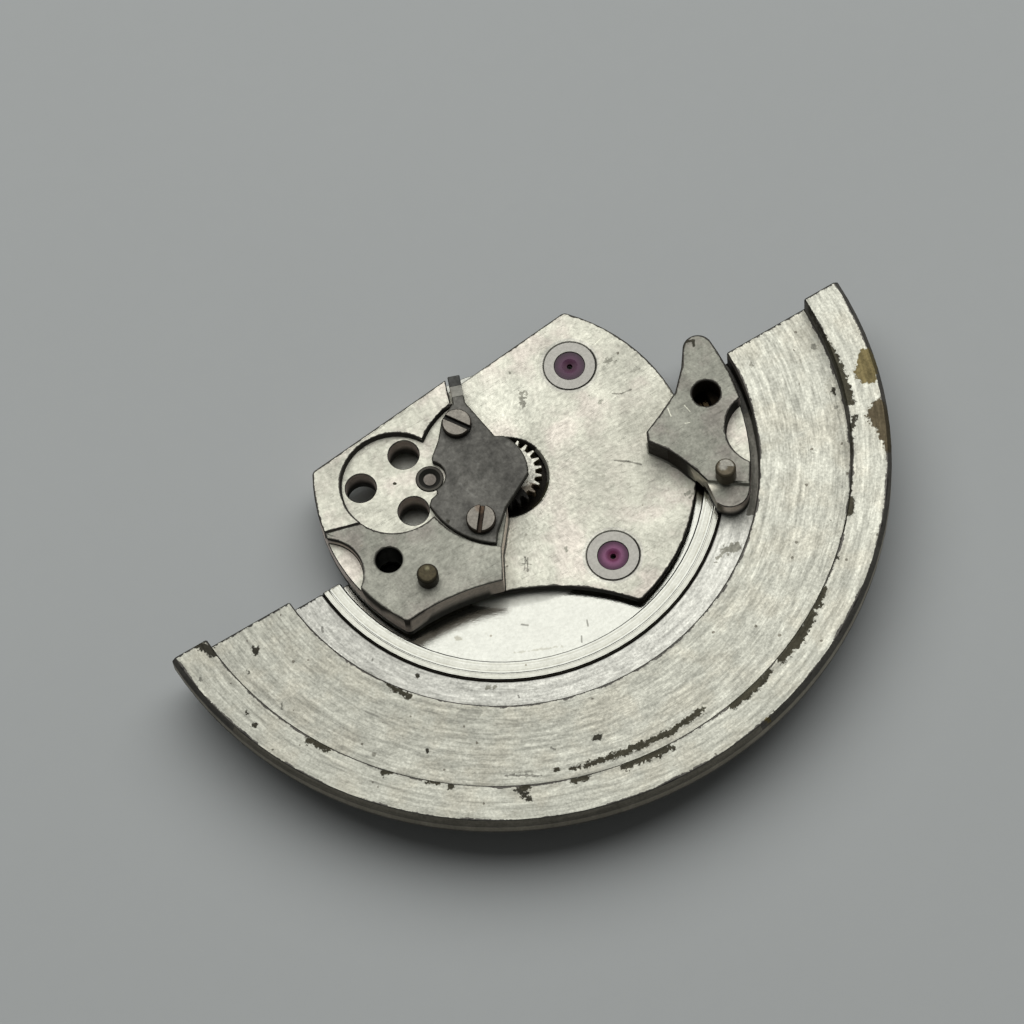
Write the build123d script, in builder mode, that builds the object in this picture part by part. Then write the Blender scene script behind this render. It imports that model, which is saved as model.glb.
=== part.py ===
"""Automatic watch rotor with its winding bridge, lying on its outer face with the movement side up.

Frame: origin on the rotor's axis at the surface the rotor lies on, +Z towards the movement side,
+X along the chord that ends the half-disc weight, and the weight towards -Y. Millimetres.
"""
from build123d import *
from math import cos, radians, sin
import os

os.makedirs("parts", exist_ok=True)

# Sizes of the rotor: a half-disc weight on a thin web
rotor_radius = 13.0
rotor_height = 2.45
outer_band_width = 1.34
bead_width = 0.71
wide_band_drop = 0.74
inner_band_rise = 0.40
bead_rise = 0.05
web_thickness = 0.38
web_lap = 0.60
web_hub_radius = 4.20
chord_setback = 0.37
rim_wall_height = 0.80
rim_bevel_width = 1.30
rim_edge_chamfer = 0.14
band_edge_chamfer = 0.05
bead_edge = 0.05
bead_groove_depth = 0.12
bead_line_width = 0.06
bead_line_depth = 0.03
bead_line_share = 0.63

# Sizes of the hub, the gear and the axle that turn with the rotor
hub_flange_radius = 2.10
hub_flange_thickness = 0.12
hub_core_radius = 0.95
gear_teeth = 24
gear_module = 0.097
gear_thickness = 0.36
gear_rise = 0.40
gear_tooth_angle = 8.3
gear_addendum_share = 1.0
gear_dedendum_share = 1.25
tooth_root_share = 0.62
tooth_tip_share = 0.25
axle_seat_radius = 0.32
journal_radius = 0.24
journal_clearance = 0.02
end_play = 0.02
washer_radius = 0.62
washer_thickness = 0.04
groove_radius = 0.15
clip_radius = 0.42
clip_thickness = 0.05
clip_fit = 0.005

# Sizes of the bridge plate, which stands still while the rotor turns round it
plate_clearance = 0.15
floor_thickness = 0.25
pad_rise = 1.00
block_rise = 0.05
plate_radius = 6.45
plate_gap = 0.25
plate_corner_radius = 0.22
plate_left_corner_angle = 150.0
plate_right_corner_angle = 41.3
bite_radius_share = 1.21705
bite_distance_share = 1.85581
bite_angle = 246.6
edge_break = 0.04

# The line where the high block ends, beside the low floor, as shares of the plate's radius
block_edge_shares = [(0.022, 0.674), (-0.0574, 0.4527), (0.0, 0.4186), (0.0155, 0.2171),
                     (-0.031, -0.093), (-0.124, -0.235), (-0.240, -0.380), (-0.352, -0.590)]
# The line between the block's raised top and the plain pad below it
pad_line_shares = [(-1.08, 0.196), (-0.78, 0.111), (0.20, 0.111)]

# Pocket in the block: one round, three holes in it, and the round recess of the retaining plate
recess_depth = 0.18
recess_radius = 2.93
pocket_radius = 1.82
pocket_distance_share = 0.57643
pocket_angle = 157.7
pocket_hole_radius = 0.52
pocket_hole_distance = 1.15
pocket_hole_angles = (45.0, 153.0, 273.0)

# Central opening for the gear, and the tongue above it that carries the axle's bush
gear_opening_radius = 1.40
opening_chamfer = 0.10
tongue_radius = 0.66
bush_radius = 0.55
bush_lip = 0.02

# Arm: a high tongue that reaches out over the rotor's inner band
arm_reach = 1.85
arm_gap = 0.27
arm_clearance = 0.07
arm_tip_angle = 1.6
arm_end_angle = -38.4
arm_outer_shares = [(0.5494, -0.2205), (0.5663, -0.1807), (0.6422, -0.1482), (0.7578, -0.0916),
                    (0.8361, -0.0108), (0.8892, 0.0639)]
arm_lobe_share = (0.6458, -0.5964)
arm_inner_shares = [(0.6602, -0.4976), (0.6398, -0.4133), (0.5964, -0.2952)]
arm_step_shares = [(0.6602, -0.4976), (0.90, -0.679), (0.80, -0.86), (0.50, -0.70)]
arm_step_depth = 0.12

# Scallops milled into the left pad and the arm
left_scallop_radius = 1.30
left_scallop_distance_share = 1.1029
left_scallop_angle = 181.9
left_scallop_depth = 0.35
arm_scallop_radius = 1.41
arm_scallop_distance_share = 1.07855
arm_scallop_angle = -23.0
arm_scallop_web = 0.26

# Fixing holes and locating pins
left_hole_radius = 0.46
left_hole_distance_share = 0.78946
left_hole_angle = 190.3
right_hole_radius = 0.48
right_hole_distance_share = 0.87687
right_hole_angle = -10.8
left_pin_radius = 0.36
left_pin_height = 0.55
left_pin_distance_share = 0.74202
left_pin_angle = 207.6
right_pin_radius = 0.35
right_pin_height = 0.70
right_pin_distance_share = 0.90084
right_pin_angle = -35.2
pin_seat_depth = 0.60
pin_shoulder = 0.18
pin_relief = 0.02
pin_dome = 0.10

# Jewel bearings of the two winding wheels, which stay in the movement
jewel_distance_share = 0.72248
upper_jewel_angle = 31.3
lower_jewel_angle = -70.0
setting_radius = 0.90
setting_chamfer = 0.03
jewel_radius = 0.51
jewel_sink = 0.03
jewel_bore_radius = 0.10
oil_cup_radius = 0.27
oil_cup_depth = 0.07

# Retaining plate with its finger, over the end of the axle
retainer_gap = 0.06
retainer_thickness = 0.25
retainer_right_shares = [(0.024, 0.945), (0.102, 0.369), (0.188, 0.317)]
retainer_lobe_share = (0.266, 0.017)
retainer_lower_shares = [(0.188, -0.239), (-0.078, -0.382), (-0.249, -0.471), (-0.478, -0.676)]
retainer_lower_angle = 234.6
retainer_left_angle = 179.0
retainer_foot_shares = [(-0.922, 0.075), (-0.833, 0.096)]
retainer_left_shares = [(-0.655, 0.520), (-0.481, 0.669), (-0.314, 0.870)]
retainer_top_angle = 97.2
stud_gap = 0.09
finger_root_shares = (-0.034, 0.956)
finger_width = 0.42
finger_angle = 69.5
finger_length = 1.38
finger_overlap = 0.20
finger_flat = 0.22
finger_ramp = 0.78
finger_lift = 0.05
clip_pocket_radius = 0.50
clip_pocket_depth = 0.14

# Screws of the retaining plate
screw_margin = 0.76
upper_screw_angle = 105.7
lower_screw_angle = 219.2
upper_slot_angle = 122.0
lower_slot_angle = 52.0
screw_head_radius = 0.50
screw_head_height = 0.28
screw_slot_width = 0.15
screw_slot_depth = 0.14
screw_shank_radius = 0.28
screw_shank_length = 0.62
screw_hole_clearance = 0.02

# Stud: a pin in a dark collar, beside the retaining plate
stud_margin = 0.40
stud_angle = 157.2
collar_radius = 0.45
collar_bore_radius = 0.25
collar_rise = 0.04
collar_dish = 0.12
stud_depth = 0.60
stud_sink = 0.05

# One overrun serves every cut
overrun = 1.0

# Heights above the surface that the rotor lies on, each built up from the one below it
web_bottom = hub_flange_thickness
web_top = web_bottom + web_thickness
inner_band_top = web_top + inner_band_rise
bead_top = inner_band_top + bead_rise
wide_band_top = rotor_height - wide_band_drop
plate_underside = web_top + plate_clearance
floor_top = plate_underside + floor_thickness
pad_top = floor_top + pad_rise
block_top = pad_top + block_rise
arm_underside = bead_top + arm_clearance
arm_scallop_floor = arm_underside + arm_scallop_web
gear_top = floor_top + gear_rise
hub_top = gear_top - gear_thickness
bush_bottom = gear_top + washer_thickness + end_play
tongue_underside = bush_bottom + bush_lip
recess_floor = pad_top - recess_depth
clip_bottom = recess_floor + end_play
axle_top = recess_floor + clip_pocket_depth - end_play
retainer_top = recess_floor + retainer_thickness
finger_bottom = floor_top + finger_lift

# Radii of the rotor's bands: each step of the rotor clears the part of the bridge that it passes
arm_radius = plate_radius + arm_reach
outer_band_inner = rotor_radius - outer_band_width
wide_band_inner = arm_radius + arm_gap
bead_inner = plate_radius + plate_gap
bead_outer = bead_inner + bead_width
bead_line_radius = bead_inner + bead_line_share * bead_width
foot_radius = rotor_radius - rim_bevel_width

# Radii of what sits in the bridge's round recess
retainer_radius = recess_radius - retainer_gap
screw_distance = recess_radius - screw_margin
stud_distance = recess_radius - stud_margin


def polar(distance, angle):
    """Point at a distance from the axis, with its angle in degrees from +X."""
    return (distance * cos(radians(angle)), distance * sin(radians(angle)))


def scaled(shares, size):
    """Points of an outline given as shares of one size."""
    return [(size * x, size * y) for x, y in shares]


def raise_with_broken_edge(outline, height):
    """Extrude an outline upwards in the current part, its top edge broken at 45 degrees."""
    extrude(outline, amount=height)
    chamfer(edges(Select.LAST).group_by(Axis.Z)[-1], edge_break)


left_hole = polar(plate_radius * left_hole_distance_share, left_hole_angle)
right_hole = polar(arm_radius * right_hole_distance_share, right_hole_angle)
left_pin = polar(plate_radius * left_pin_distance_share, left_pin_angle)
right_pin = polar(arm_radius * right_pin_distance_share, right_pin_angle)
upper_jewel_place = polar(plate_radius * jewel_distance_share, upper_jewel_angle)
lower_jewel_place = polar(plate_radius * jewel_distance_share, lower_jewel_angle)
upper_screw = polar(screw_distance, upper_screw_angle)
lower_screw = polar(screw_distance, lower_screw_angle)
stud_place = polar(stud_distance, stud_angle)
pocket_centre = polar(plate_radius * pocket_distance_share, pocket_angle)
pocket_holes = [
    (pocket_centre[0] + x, pocket_centre[1] + y)
    for x, y in (polar(pocket_hole_distance, angle) for angle in pocket_hole_angles)
]

# Rotor weight: the stepped rim, turned in one piece and cut off along the chord
with BuildPart() as rotor_weight:
    with BuildSketch(Plane.XZ):
        with BuildLine():
            Polyline(
                (bead_outer, web_top),
                (bead_outer + web_lap, web_top),
                (bead_outer + web_lap, 0),
                (foot_radius, 0),
                (rotor_radius, rotor_height - rim_wall_height),
                (rotor_radius, rotor_height - rim_edge_chamfer),
                (rotor_radius - rim_edge_chamfer, rotor_height),
                (outer_band_inner + band_edge_chamfer, rotor_height),
                (outer_band_inner, rotor_height - band_edge_chamfer),
                (outer_band_inner, wide_band_top),
                (wide_band_inner + band_edge_chamfer, wide_band_top),
                (wide_band_inner, wide_band_top - band_edge_chamfer),
                (wide_band_inner, inner_band_top),
                (bead_outer + band_edge_chamfer, inner_band_top),
                (bead_outer, inner_band_top - band_edge_chamfer),
                close=True,
            )
        make_face()
    revolve(axis=Axis.Z)
    split(bisect_by=Plane.XZ.offset(chord_setback), keep=Keep.TOP)
rotor_weight.part.label = "rotor_weight"

# Rotor web: a thin half disc with a raised bead at its edge, and a round hub area about the axis
with BuildPart() as rotor_web:
    with BuildSketch(Plane.XZ):
        with BuildLine():
            Polyline(
                (0, web_top),
                (0, web_bottom),
                (bead_outer + web_lap, web_bottom),
                (bead_outer + web_lap, web_top),
                (bead_outer, web_top),
                (bead_outer, bead_top - bead_groove_depth),
                (bead_outer - bead_edge, bead_top),
                (bead_line_radius + bead_line_width / 2, bead_top),
                (bead_line_radius, bead_top - bead_line_depth),
                (bead_line_radius - bead_line_width / 2, bead_top),
                (bead_inner + bead_edge, bead_top),
                (bead_inner, bead_top - bead_edge),
                (bead_inner, web_top),
                close=True,
            )
        make_face()
    revolve(axis=Axis.Z)
    split(bisect_by=Plane.XZ.offset(chord_setback), keep=Keep.TOP)
    with BuildSketch(Plane.XY.offset(web_bottom)):
        Circle(web_hub_radius)
    extrude(amount=web_thickness)
    with BuildSketch(Plane.XY.offset(web_bottom)):
        Circle(hub_core_radius)
    extrude(amount=web_thickness, mode=Mode.SUBTRACT)
rotor_web.part.label = "rotor_web"

# Rotor hub: a flange under the web and a core that comes up through it
with BuildPart() as rotor_hub:
    Cylinder(hub_flange_radius, web_bottom, align=(Align.CENTER, Align.CENTER, Align.MIN))
    with BuildSketch(Plane.XY.offset(web_bottom)):
        Circle(hub_core_radius)
    extrude(amount=hub_top - web_bottom)
    with Locations((0, 0, 0)):
        Cylinder(axle_seat_radius, 2 * (hub_top + overrun), mode=Mode.SUBTRACT)
rotor_hub.part.label = "rotor_hub"

# Rotor gear: the small wheel on the hub that drives the winding wheels
pitch_radius = gear_module * gear_teeth / 2
tip_radius = pitch_radius + gear_addendum_share * gear_module
root_radius = pitch_radius - gear_dedendum_share * gear_module
tooth_pitch = 360 / gear_teeth
with BuildSketch() as gear_tooth:
    with BuildLine():
        Polyline(
            polar(root_radius, -tooth_root_share * tooth_pitch / 2),
            polar(tip_radius, -tooth_tip_share * tooth_pitch / 2),
            polar(tip_radius, tooth_tip_share * tooth_pitch / 2),
            polar(root_radius, tooth_root_share * tooth_pitch / 2),
            close=True,
        )
    make_face()
with BuildPart() as rotor_gear:
    with BuildSketch(Plane.XY.offset(hub_top)):
        Circle(root_radius)
        with PolarLocations(0, gear_teeth, start_angle=gear_tooth_angle):
            add(gear_tooth.sketch)
        Circle(axle_seat_radius, mode=Mode.SUBTRACT)
    extrude(amount=gear_thickness)
rotor_gear.part.label = "rotor_gear"

# Rotor axle: a seat in the hub and the gear, and a journal with a groove for the clip
with BuildPart() as rotor_axle:
    with BuildSketch(Plane.XZ):
        with BuildLine():
            Polyline(
                (0, 0),
                (axle_seat_radius, 0),
                (axle_seat_radius, gear_top),
                (journal_radius, gear_top),
                (journal_radius, clip_bottom - clip_fit),
                (groove_radius, clip_bottom - clip_fit),
                (groove_radius, clip_bottom + clip_thickness + clip_fit),
                (journal_radius, clip_bottom + clip_thickness + clip_fit),
                (journal_radius, axle_top),
                (0, axle_top),
                close=True,
            )
        make_face()
    revolve(axis=Axis.Z)
rotor_axle.part.label = "rotor_axle"

# Thrust washer between the gear and the bush
with BuildPart() as thrust_washer:
    with BuildSketch(Plane.XY.offset(gear_top)):
        Circle(washer_radius)
        Circle(journal_radius + clip_fit, mode=Mode.SUBTRACT)
    extrude(amount=washer_thickness)
thrust_washer.part.label = "thrust_washer"

# Axle clip: an open ring pushed into the groove from the side
with BuildPart() as axle_clip:
    with BuildSketch(Plane.XY.offset(clip_bottom)):
        Circle(clip_radius)
        Circle(groove_radius + clip_fit, mode=Mode.SUBTRACT)
        with Locations((0, -clip_radius)):
            Rectangle(2 * (groove_radius + clip_fit), 2 * clip_radius, mode=Mode.SUBTRACT)
    extrude(amount=clip_thickness)
axle_clip.part.label = "axle_clip"

# Bridge plate: low floor, high block and pad on the left, and the arm on the right
with BuildPart() as bridge_plate:
    with BuildSketch(Plane.XY.offset(plate_underside)) as plate_outline:
        Circle(plate_radius)
        left_corner = polar(plate_radius, plate_left_corner_angle)
        right_corner = polar(plate_radius, plate_right_corner_angle)
        with BuildLine():
            Polyline(
                left_corner,
                right_corner,
                (2 * right_corner[0], 2 * right_corner[1]),
                (2 * left_corner[0], 2 * left_corner[1]),
                close=True,
            )
        make_face(mode=Mode.SUBTRACT)
        with Locations(polar(plate_radius * bite_distance_share, bite_angle)):
            Circle(plate_radius * bite_radius_share, mode=Mode.SUBTRACT)
        fillet(plate_outline.vertices(), plate_corner_radius)
    extrude(amount=floor_top - plate_underside)

    with BuildSketch(Plane.XY.offset(floor_top)) as block_outline:
        block_edge = scaled(block_edge_shares, plate_radius)
        with BuildLine():
            Polyline(
                *block_edge,
                (-2 * plate_radius, block_edge[-1][1]),
                (-2 * plate_radius, block_edge[0][1]),
                close=True,
            )
        make_face()
        Circle(tongue_radius)
        add(plate_outline.sketch_local, mode=Mode.INTERSECT)
    extrude(amount=pad_top - floor_top)

    with BuildSketch(Plane.XY.offset(pad_top)) as raised_outline:
        add(block_outline.sketch_local)
        pad_line = scaled(pad_line_shares, plate_radius)
        with BuildLine():
            Polyline(
                *pad_line,
                (pad_line[-1][0], -2 * plate_radius),
                (pad_line[0][0], -2 * plate_radius),
                close=True,
            )
        make_face(mode=Mode.SUBTRACT)
    extrude(amount=block_rise)

    with BuildSketch(Plane.XY.offset(arm_underside)) as arm_outline:
        outer_points = scaled(arm_outer_shares, arm_radius)
        inner_points = scaled(arm_inner_shares, arm_radius)
        lobe_end = scaled([arm_lobe_share], arm_radius)[0]
        arm_tip = polar(arm_radius, arm_tip_angle)
        arm_end = polar(arm_radius, arm_end_angle)
        with BuildLine():
            Polyline(*outer_points)
            TangentArc(arm_tip, outer_points[-1], tangent=polar(1, arm_tip_angle + 90))
            RadiusArc(arm_tip, arm_end, arm_radius)
            TangentArc(arm_end, lobe_end, tangent=polar(1, arm_end_angle - 90))
            Line(lobe_end, inner_points[0])
            ThreePointArc(*inner_points)
            Line(inner_points[-1], outer_points[0])
        make_face()
    raise_with_broken_edge(arm_outline.sketch, pad_top - arm_underside)
    with BuildSketch(Plane.XY.offset(floor_top)):
        add(arm_outline.sketch_local)
        Circle(plate_radius, mode=Mode.INTERSECT)
    extrude(amount=arm_underside - floor_top)

    with BuildSketch(Plane.XY.offset(recess_floor)):
        Circle(recess_radius)
        with Locations(pocket_centre):
            Circle(pocket_radius)
    extrude(amount=recess_depth + overrun, mode=Mode.SUBTRACT)
    with BuildSketch(Plane.XY.offset(pad_top - arm_step_depth)):
        Polygon(*scaled(arm_step_shares, arm_radius), align=None)
    extrude(amount=overrun, mode=Mode.SUBTRACT)
    with BuildSketch(Plane.XY.offset(pad_top - left_scallop_depth)):
        with Locations(polar(plate_radius * left_scallop_distance_share, left_scallop_angle)):
            Circle(left_scallop_radius)
    extrude(amount=overrun + left_scallop_depth, mode=Mode.SUBTRACT)
    with BuildSketch(Plane.XY.offset(arm_scallop_floor)):
        with Locations(polar(arm_radius * arm_scallop_distance_share, arm_scallop_angle)):
            Circle(arm_scallop_radius)
    extrude(amount=overrun + pad_top - arm_scallop_floor, mode=Mode.SUBTRACT)
    with BuildSketch(Plane.XY.offset(plate_underside - overrun)):
        Circle(gear_opening_radius)
    extrude(amount=tongue_underside - plate_underside + overrun, mode=Mode.SUBTRACT)
    with Locations((0, 0, floor_top)):
        Cone(gear_opening_radius, gear_opening_radius + opening_chamfer, opening_chamfer,
             align=(Align.CENTER, Align.CENTER, Align.MAX), mode=Mode.SUBTRACT)

    through_holes = (
        [(place, pocket_hole_radius) for place in pocket_holes]
        + [(left_hole, left_hole_radius), (right_hole, right_hole_radius)]
        + [(upper_jewel_place, setting_radius), (lower_jewel_place, setting_radius)]
        + [(upper_screw, screw_shank_radius), (lower_screw, screw_shank_radius)]
        + [((0, 0), bush_radius)]
    )
    for place, radius in through_holes:
        with Locations((place[0], place[1], 0)):
            Cylinder(radius, 2 * (block_top + overrun), mode=Mode.SUBTRACT)
    blind_holes = [
        (left_pin, left_pin_radius - pin_shoulder, pad_top - pin_seat_depth),
        (right_pin, right_pin_radius - pin_shoulder, pad_top - pin_seat_depth),
        (stud_place, collar_radius, recess_floor - stud_depth),
    ]
    for place, radius, hole_floor in blind_holes:
        with BuildSketch(Plane.XY.offset(hole_floor)):
            with Locations(place):
                Circle(radius)
        extrude(amount=block_top + overrun - hole_floor, mode=Mode.SUBTRACT)
bridge_plate.part.label = "bridge_plate"

# Axle bush, pressed into the tongue above the gear
with BuildPart() as axle_bush:
    with BuildSketch(Plane.XY.offset(bush_bottom)):
        Circle(bush_radius)
        Circle(journal_radius + journal_clearance, mode=Mode.SUBTRACT)
    extrude(amount=recess_floor - bush_bottom)
axle_bush.part.label = "axle_bush"


def make_setting(place):
    """Metal ring pressed into the bridge, flush with the floor, around a jewel."""
    with BuildPart() as setting:
        with BuildSketch(Plane.XY.offset(plate_underside)):
            with Locations(place):
                Circle(setting_radius)
                Circle(jewel_radius, mode=Mode.SUBTRACT)
        extrude(amount=floor_top - plate_underside)
        chamfer(setting.edges().group_by(Axis.Z)[-1], setting_chamfer)
    return setting.part


def make_jewel(place):
    """Ruby bearing with a bore and an oil cup, sunk a little below its setting."""
    jewel_top = floor_top - jewel_sink
    cup_ball_radius = (oil_cup_radius**2 + oil_cup_depth**2) / (2 * oil_cup_depth)
    with BuildPart() as jewel:
        with BuildSketch(Plane.XY.offset(plate_underside)):
            with Locations(place):
                Circle(jewel_radius)
                Circle(jewel_bore_radius, mode=Mode.SUBTRACT)
        extrude(amount=jewel_top - plate_underside)
        with Locations((place[0], place[1], jewel_top + cup_ball_radius - oil_cup_depth)):
            Sphere(cup_ball_radius, mode=Mode.SUBTRACT)
    return jewel.part


# Two jewels in their settings, where the winding wheels' arbors turn
jewel_pieces = {
    "upper_jewel_setting": make_setting(upper_jewel_place),
    "lower_jewel_setting": make_setting(lower_jewel_place),
    "upper_jewel": make_jewel(upper_jewel_place),
    "lower_jewel": make_jewel(lower_jewel_place),
}
for name, piece in jewel_pieces.items():
    piece.label = name


def make_pin(place, radius, height):
    """Locating pin with a rounded top, and a thinner shank that is pressed into the bridge."""
    with BuildPart() as pin:
        with BuildSketch(Plane.XY.offset(pad_top - pin_seat_depth)):
            with Locations(place):
                Circle(radius - pin_shoulder)
        extrude(amount=pin_seat_depth + pin_relief)
        with BuildSketch(Plane.XY.offset(pad_top + pin_relief)):
            with Locations(place):
                Circle(radius)
        extrude(amount=height - pin_relief)
        fillet(pin.edges().group_by(Axis.Z)[-1], pin_dome)
    return pin.part


# Locating pins that enter the movement's main plate
pin_pieces = {
    "left_locating_pin": make_pin(left_pin, left_pin_radius, left_pin_height),
    "right_locating_pin": make_pin(right_pin, right_pin_radius, right_pin_height),
}
for name, piece in pin_pieces.items():
    piece.label = name

# Retaining plate: a flat cover over the axle's end, with a finger bent down beside the block
with BuildPart() as retaining_plate:
    with BuildSketch(Plane.XY.offset(recess_floor)):
        right_points = scaled(retainer_right_shares, recess_radius)
        lower_points = scaled(retainer_lower_shares, recess_radius)
        foot_points = scaled(retainer_foot_shares, recess_radius)
        left_points = scaled(retainer_left_shares, recess_radius)
        lower_corner = polar(retainer_radius, retainer_lower_angle)
        left_edge = polar(retainer_radius, retainer_left_angle)
        top_corner = polar(retainer_radius, retainer_top_angle)
        with BuildLine():
            Polyline(top_corner, *right_points)
            ThreePointArc(right_points[-1], scaled([retainer_lobe_share], recess_radius)[0], lower_points[0])
            Polyline(*lower_points, lower_corner)
            RadiusArc(lower_corner, left_edge, retainer_radius)
            Polyline(left_edge, *foot_points, left_points[0], *left_points[1:], top_corner)
        make_face()
        with Locations(stud_place):
            Circle(collar_radius + stud_gap, mode=Mode.SUBTRACT)
        with Locations(upper_screw, lower_screw):
            Circle(screw_shank_radius + screw_hole_clearance, mode=Mode.SUBTRACT)
    extrude(amount=retainer_thickness)
    with BuildSketch(Plane.XY.offset(recess_floor)):
        Circle(clip_pocket_radius)
    extrude(amount=clip_pocket_depth, mode=Mode.SUBTRACT)
    finger_root = scaled([finger_root_shares], recess_radius)[0]
    finger_plane = Plane(
        origin=(finger_root[0], finger_root[1], 0),
        x_dir=(cos(radians(finger_angle)), sin(radians(finger_angle)), 0),
        z_dir=(sin(radians(finger_angle)), -cos(radians(finger_angle)), 0),
    )
    with BuildSketch(finger_plane):
        with BuildLine():
            Polyline(
                (-finger_overlap, recess_floor),
                (finger_flat, recess_floor),
                (finger_flat + finger_ramp, finger_bottom),
                (finger_length, finger_bottom),
                (finger_length, finger_bottom + retainer_thickness),
                (finger_flat + finger_ramp, finger_bottom + retainer_thickness),
                (finger_flat, retainer_top),
                (-finger_overlap, retainer_top),
                close=True,
            )
        make_face()
    extrude(amount=finger_width / 2, both=True)
retaining_plate.part.label = "retaining_plate"


def make_screw(place, slot_angle):
    """Slotted cheese-head screw standing on the retaining plate."""
    with BuildPart() as screw:
        with BuildSketch(Plane.XY.offset(retainer_top)):
            with Locations(place):
                Circle(screw_head_radius)
        extrude(amount=screw_head_height)
        chamfer(screw.edges().group_by(Axis.Z)[-1], edge_break)
        with BuildSketch(Plane.XY.offset(retainer_top + screw_head_height - screw_slot_depth)):
            with Locations(Location((place[0], place[1], 0), (0, 0, slot_angle))):
                Rectangle(2 * screw_head_radius + overrun, screw_slot_width)
        extrude(amount=overrun, mode=Mode.SUBTRACT)
        with BuildSketch(Plane.XY.offset(retainer_top - retainer_thickness - screw_shank_length)):
            with Locations(place):
                Circle(screw_shank_radius)
        extrude(amount=retainer_thickness + screw_shank_length)
    return screw.part


# Two like screws, kept as one group of separate solids
retaining_screws = Compound(
    label="retaining_screws",
    children=[make_screw(upper_screw, upper_slot_angle), make_screw(lower_screw, lower_slot_angle)],
)

# Stud collar, with a dished mouth, and the pin in it
with BuildPart() as stud_collar:
    with BuildSketch(Plane.XY.offset(recess_floor - stud_depth)):
        with Locations(stud_place):
            Circle(collar_radius)
            Circle(collar_bore_radius, mode=Mode.SUBTRACT)
    extrude(amount=stud_depth + collar_rise)
    chamfer(stud_collar.edges().group_by(Axis.Z)[-1].sort_by(SortBy.LENGTH)[0], collar_dish)
stud_collar.part.label = "stud_collar"

with BuildPart() as stud_pin:
    with BuildSketch(Plane.XY.offset(recess_floor - stud_depth)):
        with Locations(stud_place):
            Circle(collar_bore_radius)
    extrude(amount=stud_depth - stud_sink)
    chamfer(stud_pin.edges().group_by(Axis.Z)[-1], edge_break)
stud_pin.part.label = "stud_pin"

for piece in (rotor_weight, rotor_web, rotor_hub, rotor_gear, rotor_axle, thrust_washer, axle_clip,
              bridge_plate, axle_bush, retaining_plate, stud_collar, stud_pin):
    export_step(piece.part, f"parts/{piece.part.label}.step")
for name, piece in (jewel_pieces | pin_pieces).items():
    export_step(piece, f"parts/{name}.step")
export_step(retaining_screws, "parts/retaining_screws.step")
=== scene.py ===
"""Automatic watch rotor on its winding bridge: finishes, broken edges, studio and camera."""

import logging
import math
from dataclasses import KW_ONLY, dataclass, field
from enum import Enum
from typing import ClassVar

import bmesh
import bpy
from mathutils import Matrix, Vector


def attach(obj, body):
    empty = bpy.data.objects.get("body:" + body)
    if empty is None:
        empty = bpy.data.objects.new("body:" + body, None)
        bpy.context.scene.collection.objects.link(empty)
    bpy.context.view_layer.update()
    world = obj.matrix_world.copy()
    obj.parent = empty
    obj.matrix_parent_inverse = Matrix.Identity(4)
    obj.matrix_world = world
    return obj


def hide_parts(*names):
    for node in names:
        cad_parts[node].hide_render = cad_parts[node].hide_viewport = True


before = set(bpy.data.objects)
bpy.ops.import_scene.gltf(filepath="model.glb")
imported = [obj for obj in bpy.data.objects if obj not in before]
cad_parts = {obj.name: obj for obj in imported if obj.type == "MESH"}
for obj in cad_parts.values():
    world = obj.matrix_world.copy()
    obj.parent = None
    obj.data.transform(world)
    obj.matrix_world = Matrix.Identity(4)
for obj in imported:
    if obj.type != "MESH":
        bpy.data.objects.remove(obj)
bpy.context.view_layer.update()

LOG = logging.getLogger("watch_rotor")

Colour = tuple[float, float, float]
Point = tuple[float, float, float]
Spot = tuple[float, float]  # x and y, in millimetres
Span = tuple[float, float]  # lower and upper height, in millimetres
Arc = tuple[float, float]  # middle and half angle, in degrees
Smear = tuple[float, float, float, float, float, float]
Smears = tuple[tuple[Colour, tuple[Smear, ...]], ...]
Socket = bpy.types.NodeSocket
Input = Socket | float | tuple | Vector

MM = 0.001
TOP = 9.0  # millimetres, above every piece
ALL_HEIGHTS: Span = (-TOP, TOP)
FULL_TURN: Arc = (0.0, 180.0)
RIM = 0.08  # millimetres from an edge over which a worn outline can reach
RIGHT: Point = (1.0, 0.0, 0.0)
UP: Point = (0.0, 0.0, 1.0)
LEVEL: Point = (1.0, 1.0, 0.0)

# Plating, dirt, wear, bare metal, painted light and painted shade, as the marks and more than one
# finish use them.
CREAM: Colour = (0.395, 0.391, 0.335)
DULL_CREAM: Colour = (0.335, 0.328, 0.274)
BRIGHT_CREAM: Colour = (0.50, 0.495, 0.42)
INNER_CREAM: Colour = (0.48, 0.475, 0.43)
# painted light on the bridge's left pad
PAD_PAINTED_LIGHT: Colour = (0.225, 0.223, 0.187)
PAD_GREY: Colour = (0.190, 0.189, 0.158)
PINKISH: Colour = (0.985, 0.925, 0.955)
WARMER: Colour = (0.99, 0.968, 0.945)
# painted shade: black in hollows, holes, slots, under heads and plates, and under the retaining
# plate
SHADE_BLACK: Colour = (0.012, 0.011, 0.009)
# painted shade on the rotor where it shows through the bridge's right hole
HOLE_SHADE: Colour = (0.018, 0.013, 0.007)
DARK_DIRT: Colour = (0.030, 0.028, 0.020)
BROWN_DIRT: Colour = (0.037, 0.034, 0.022)
OLIVE_DIRT: Colour = (0.14, 0.13, 0.07)
PIT_DIRT: Colour = (0.16, 0.15, 0.12)
# painted shade in the lower screw's slot
SLOT_SHADE: Colour = (0.018, 0.011, 0.006)
# painted shade inside the bridge's right hole
HOLE_SHADE_BROWN: Colour = (0.035, 0.027, 0.018)
TOOTH_SHADE_BROWN: Colour = (0.10, 0.075, 0.05)
RUST: Colour = (0.12, 0.075, 0.045)
GREY_WEAR: Colour = (0.205, 0.20, 0.165)
FAINT_WEAR: Colour = (0.30, 0.295, 0.25)
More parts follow.
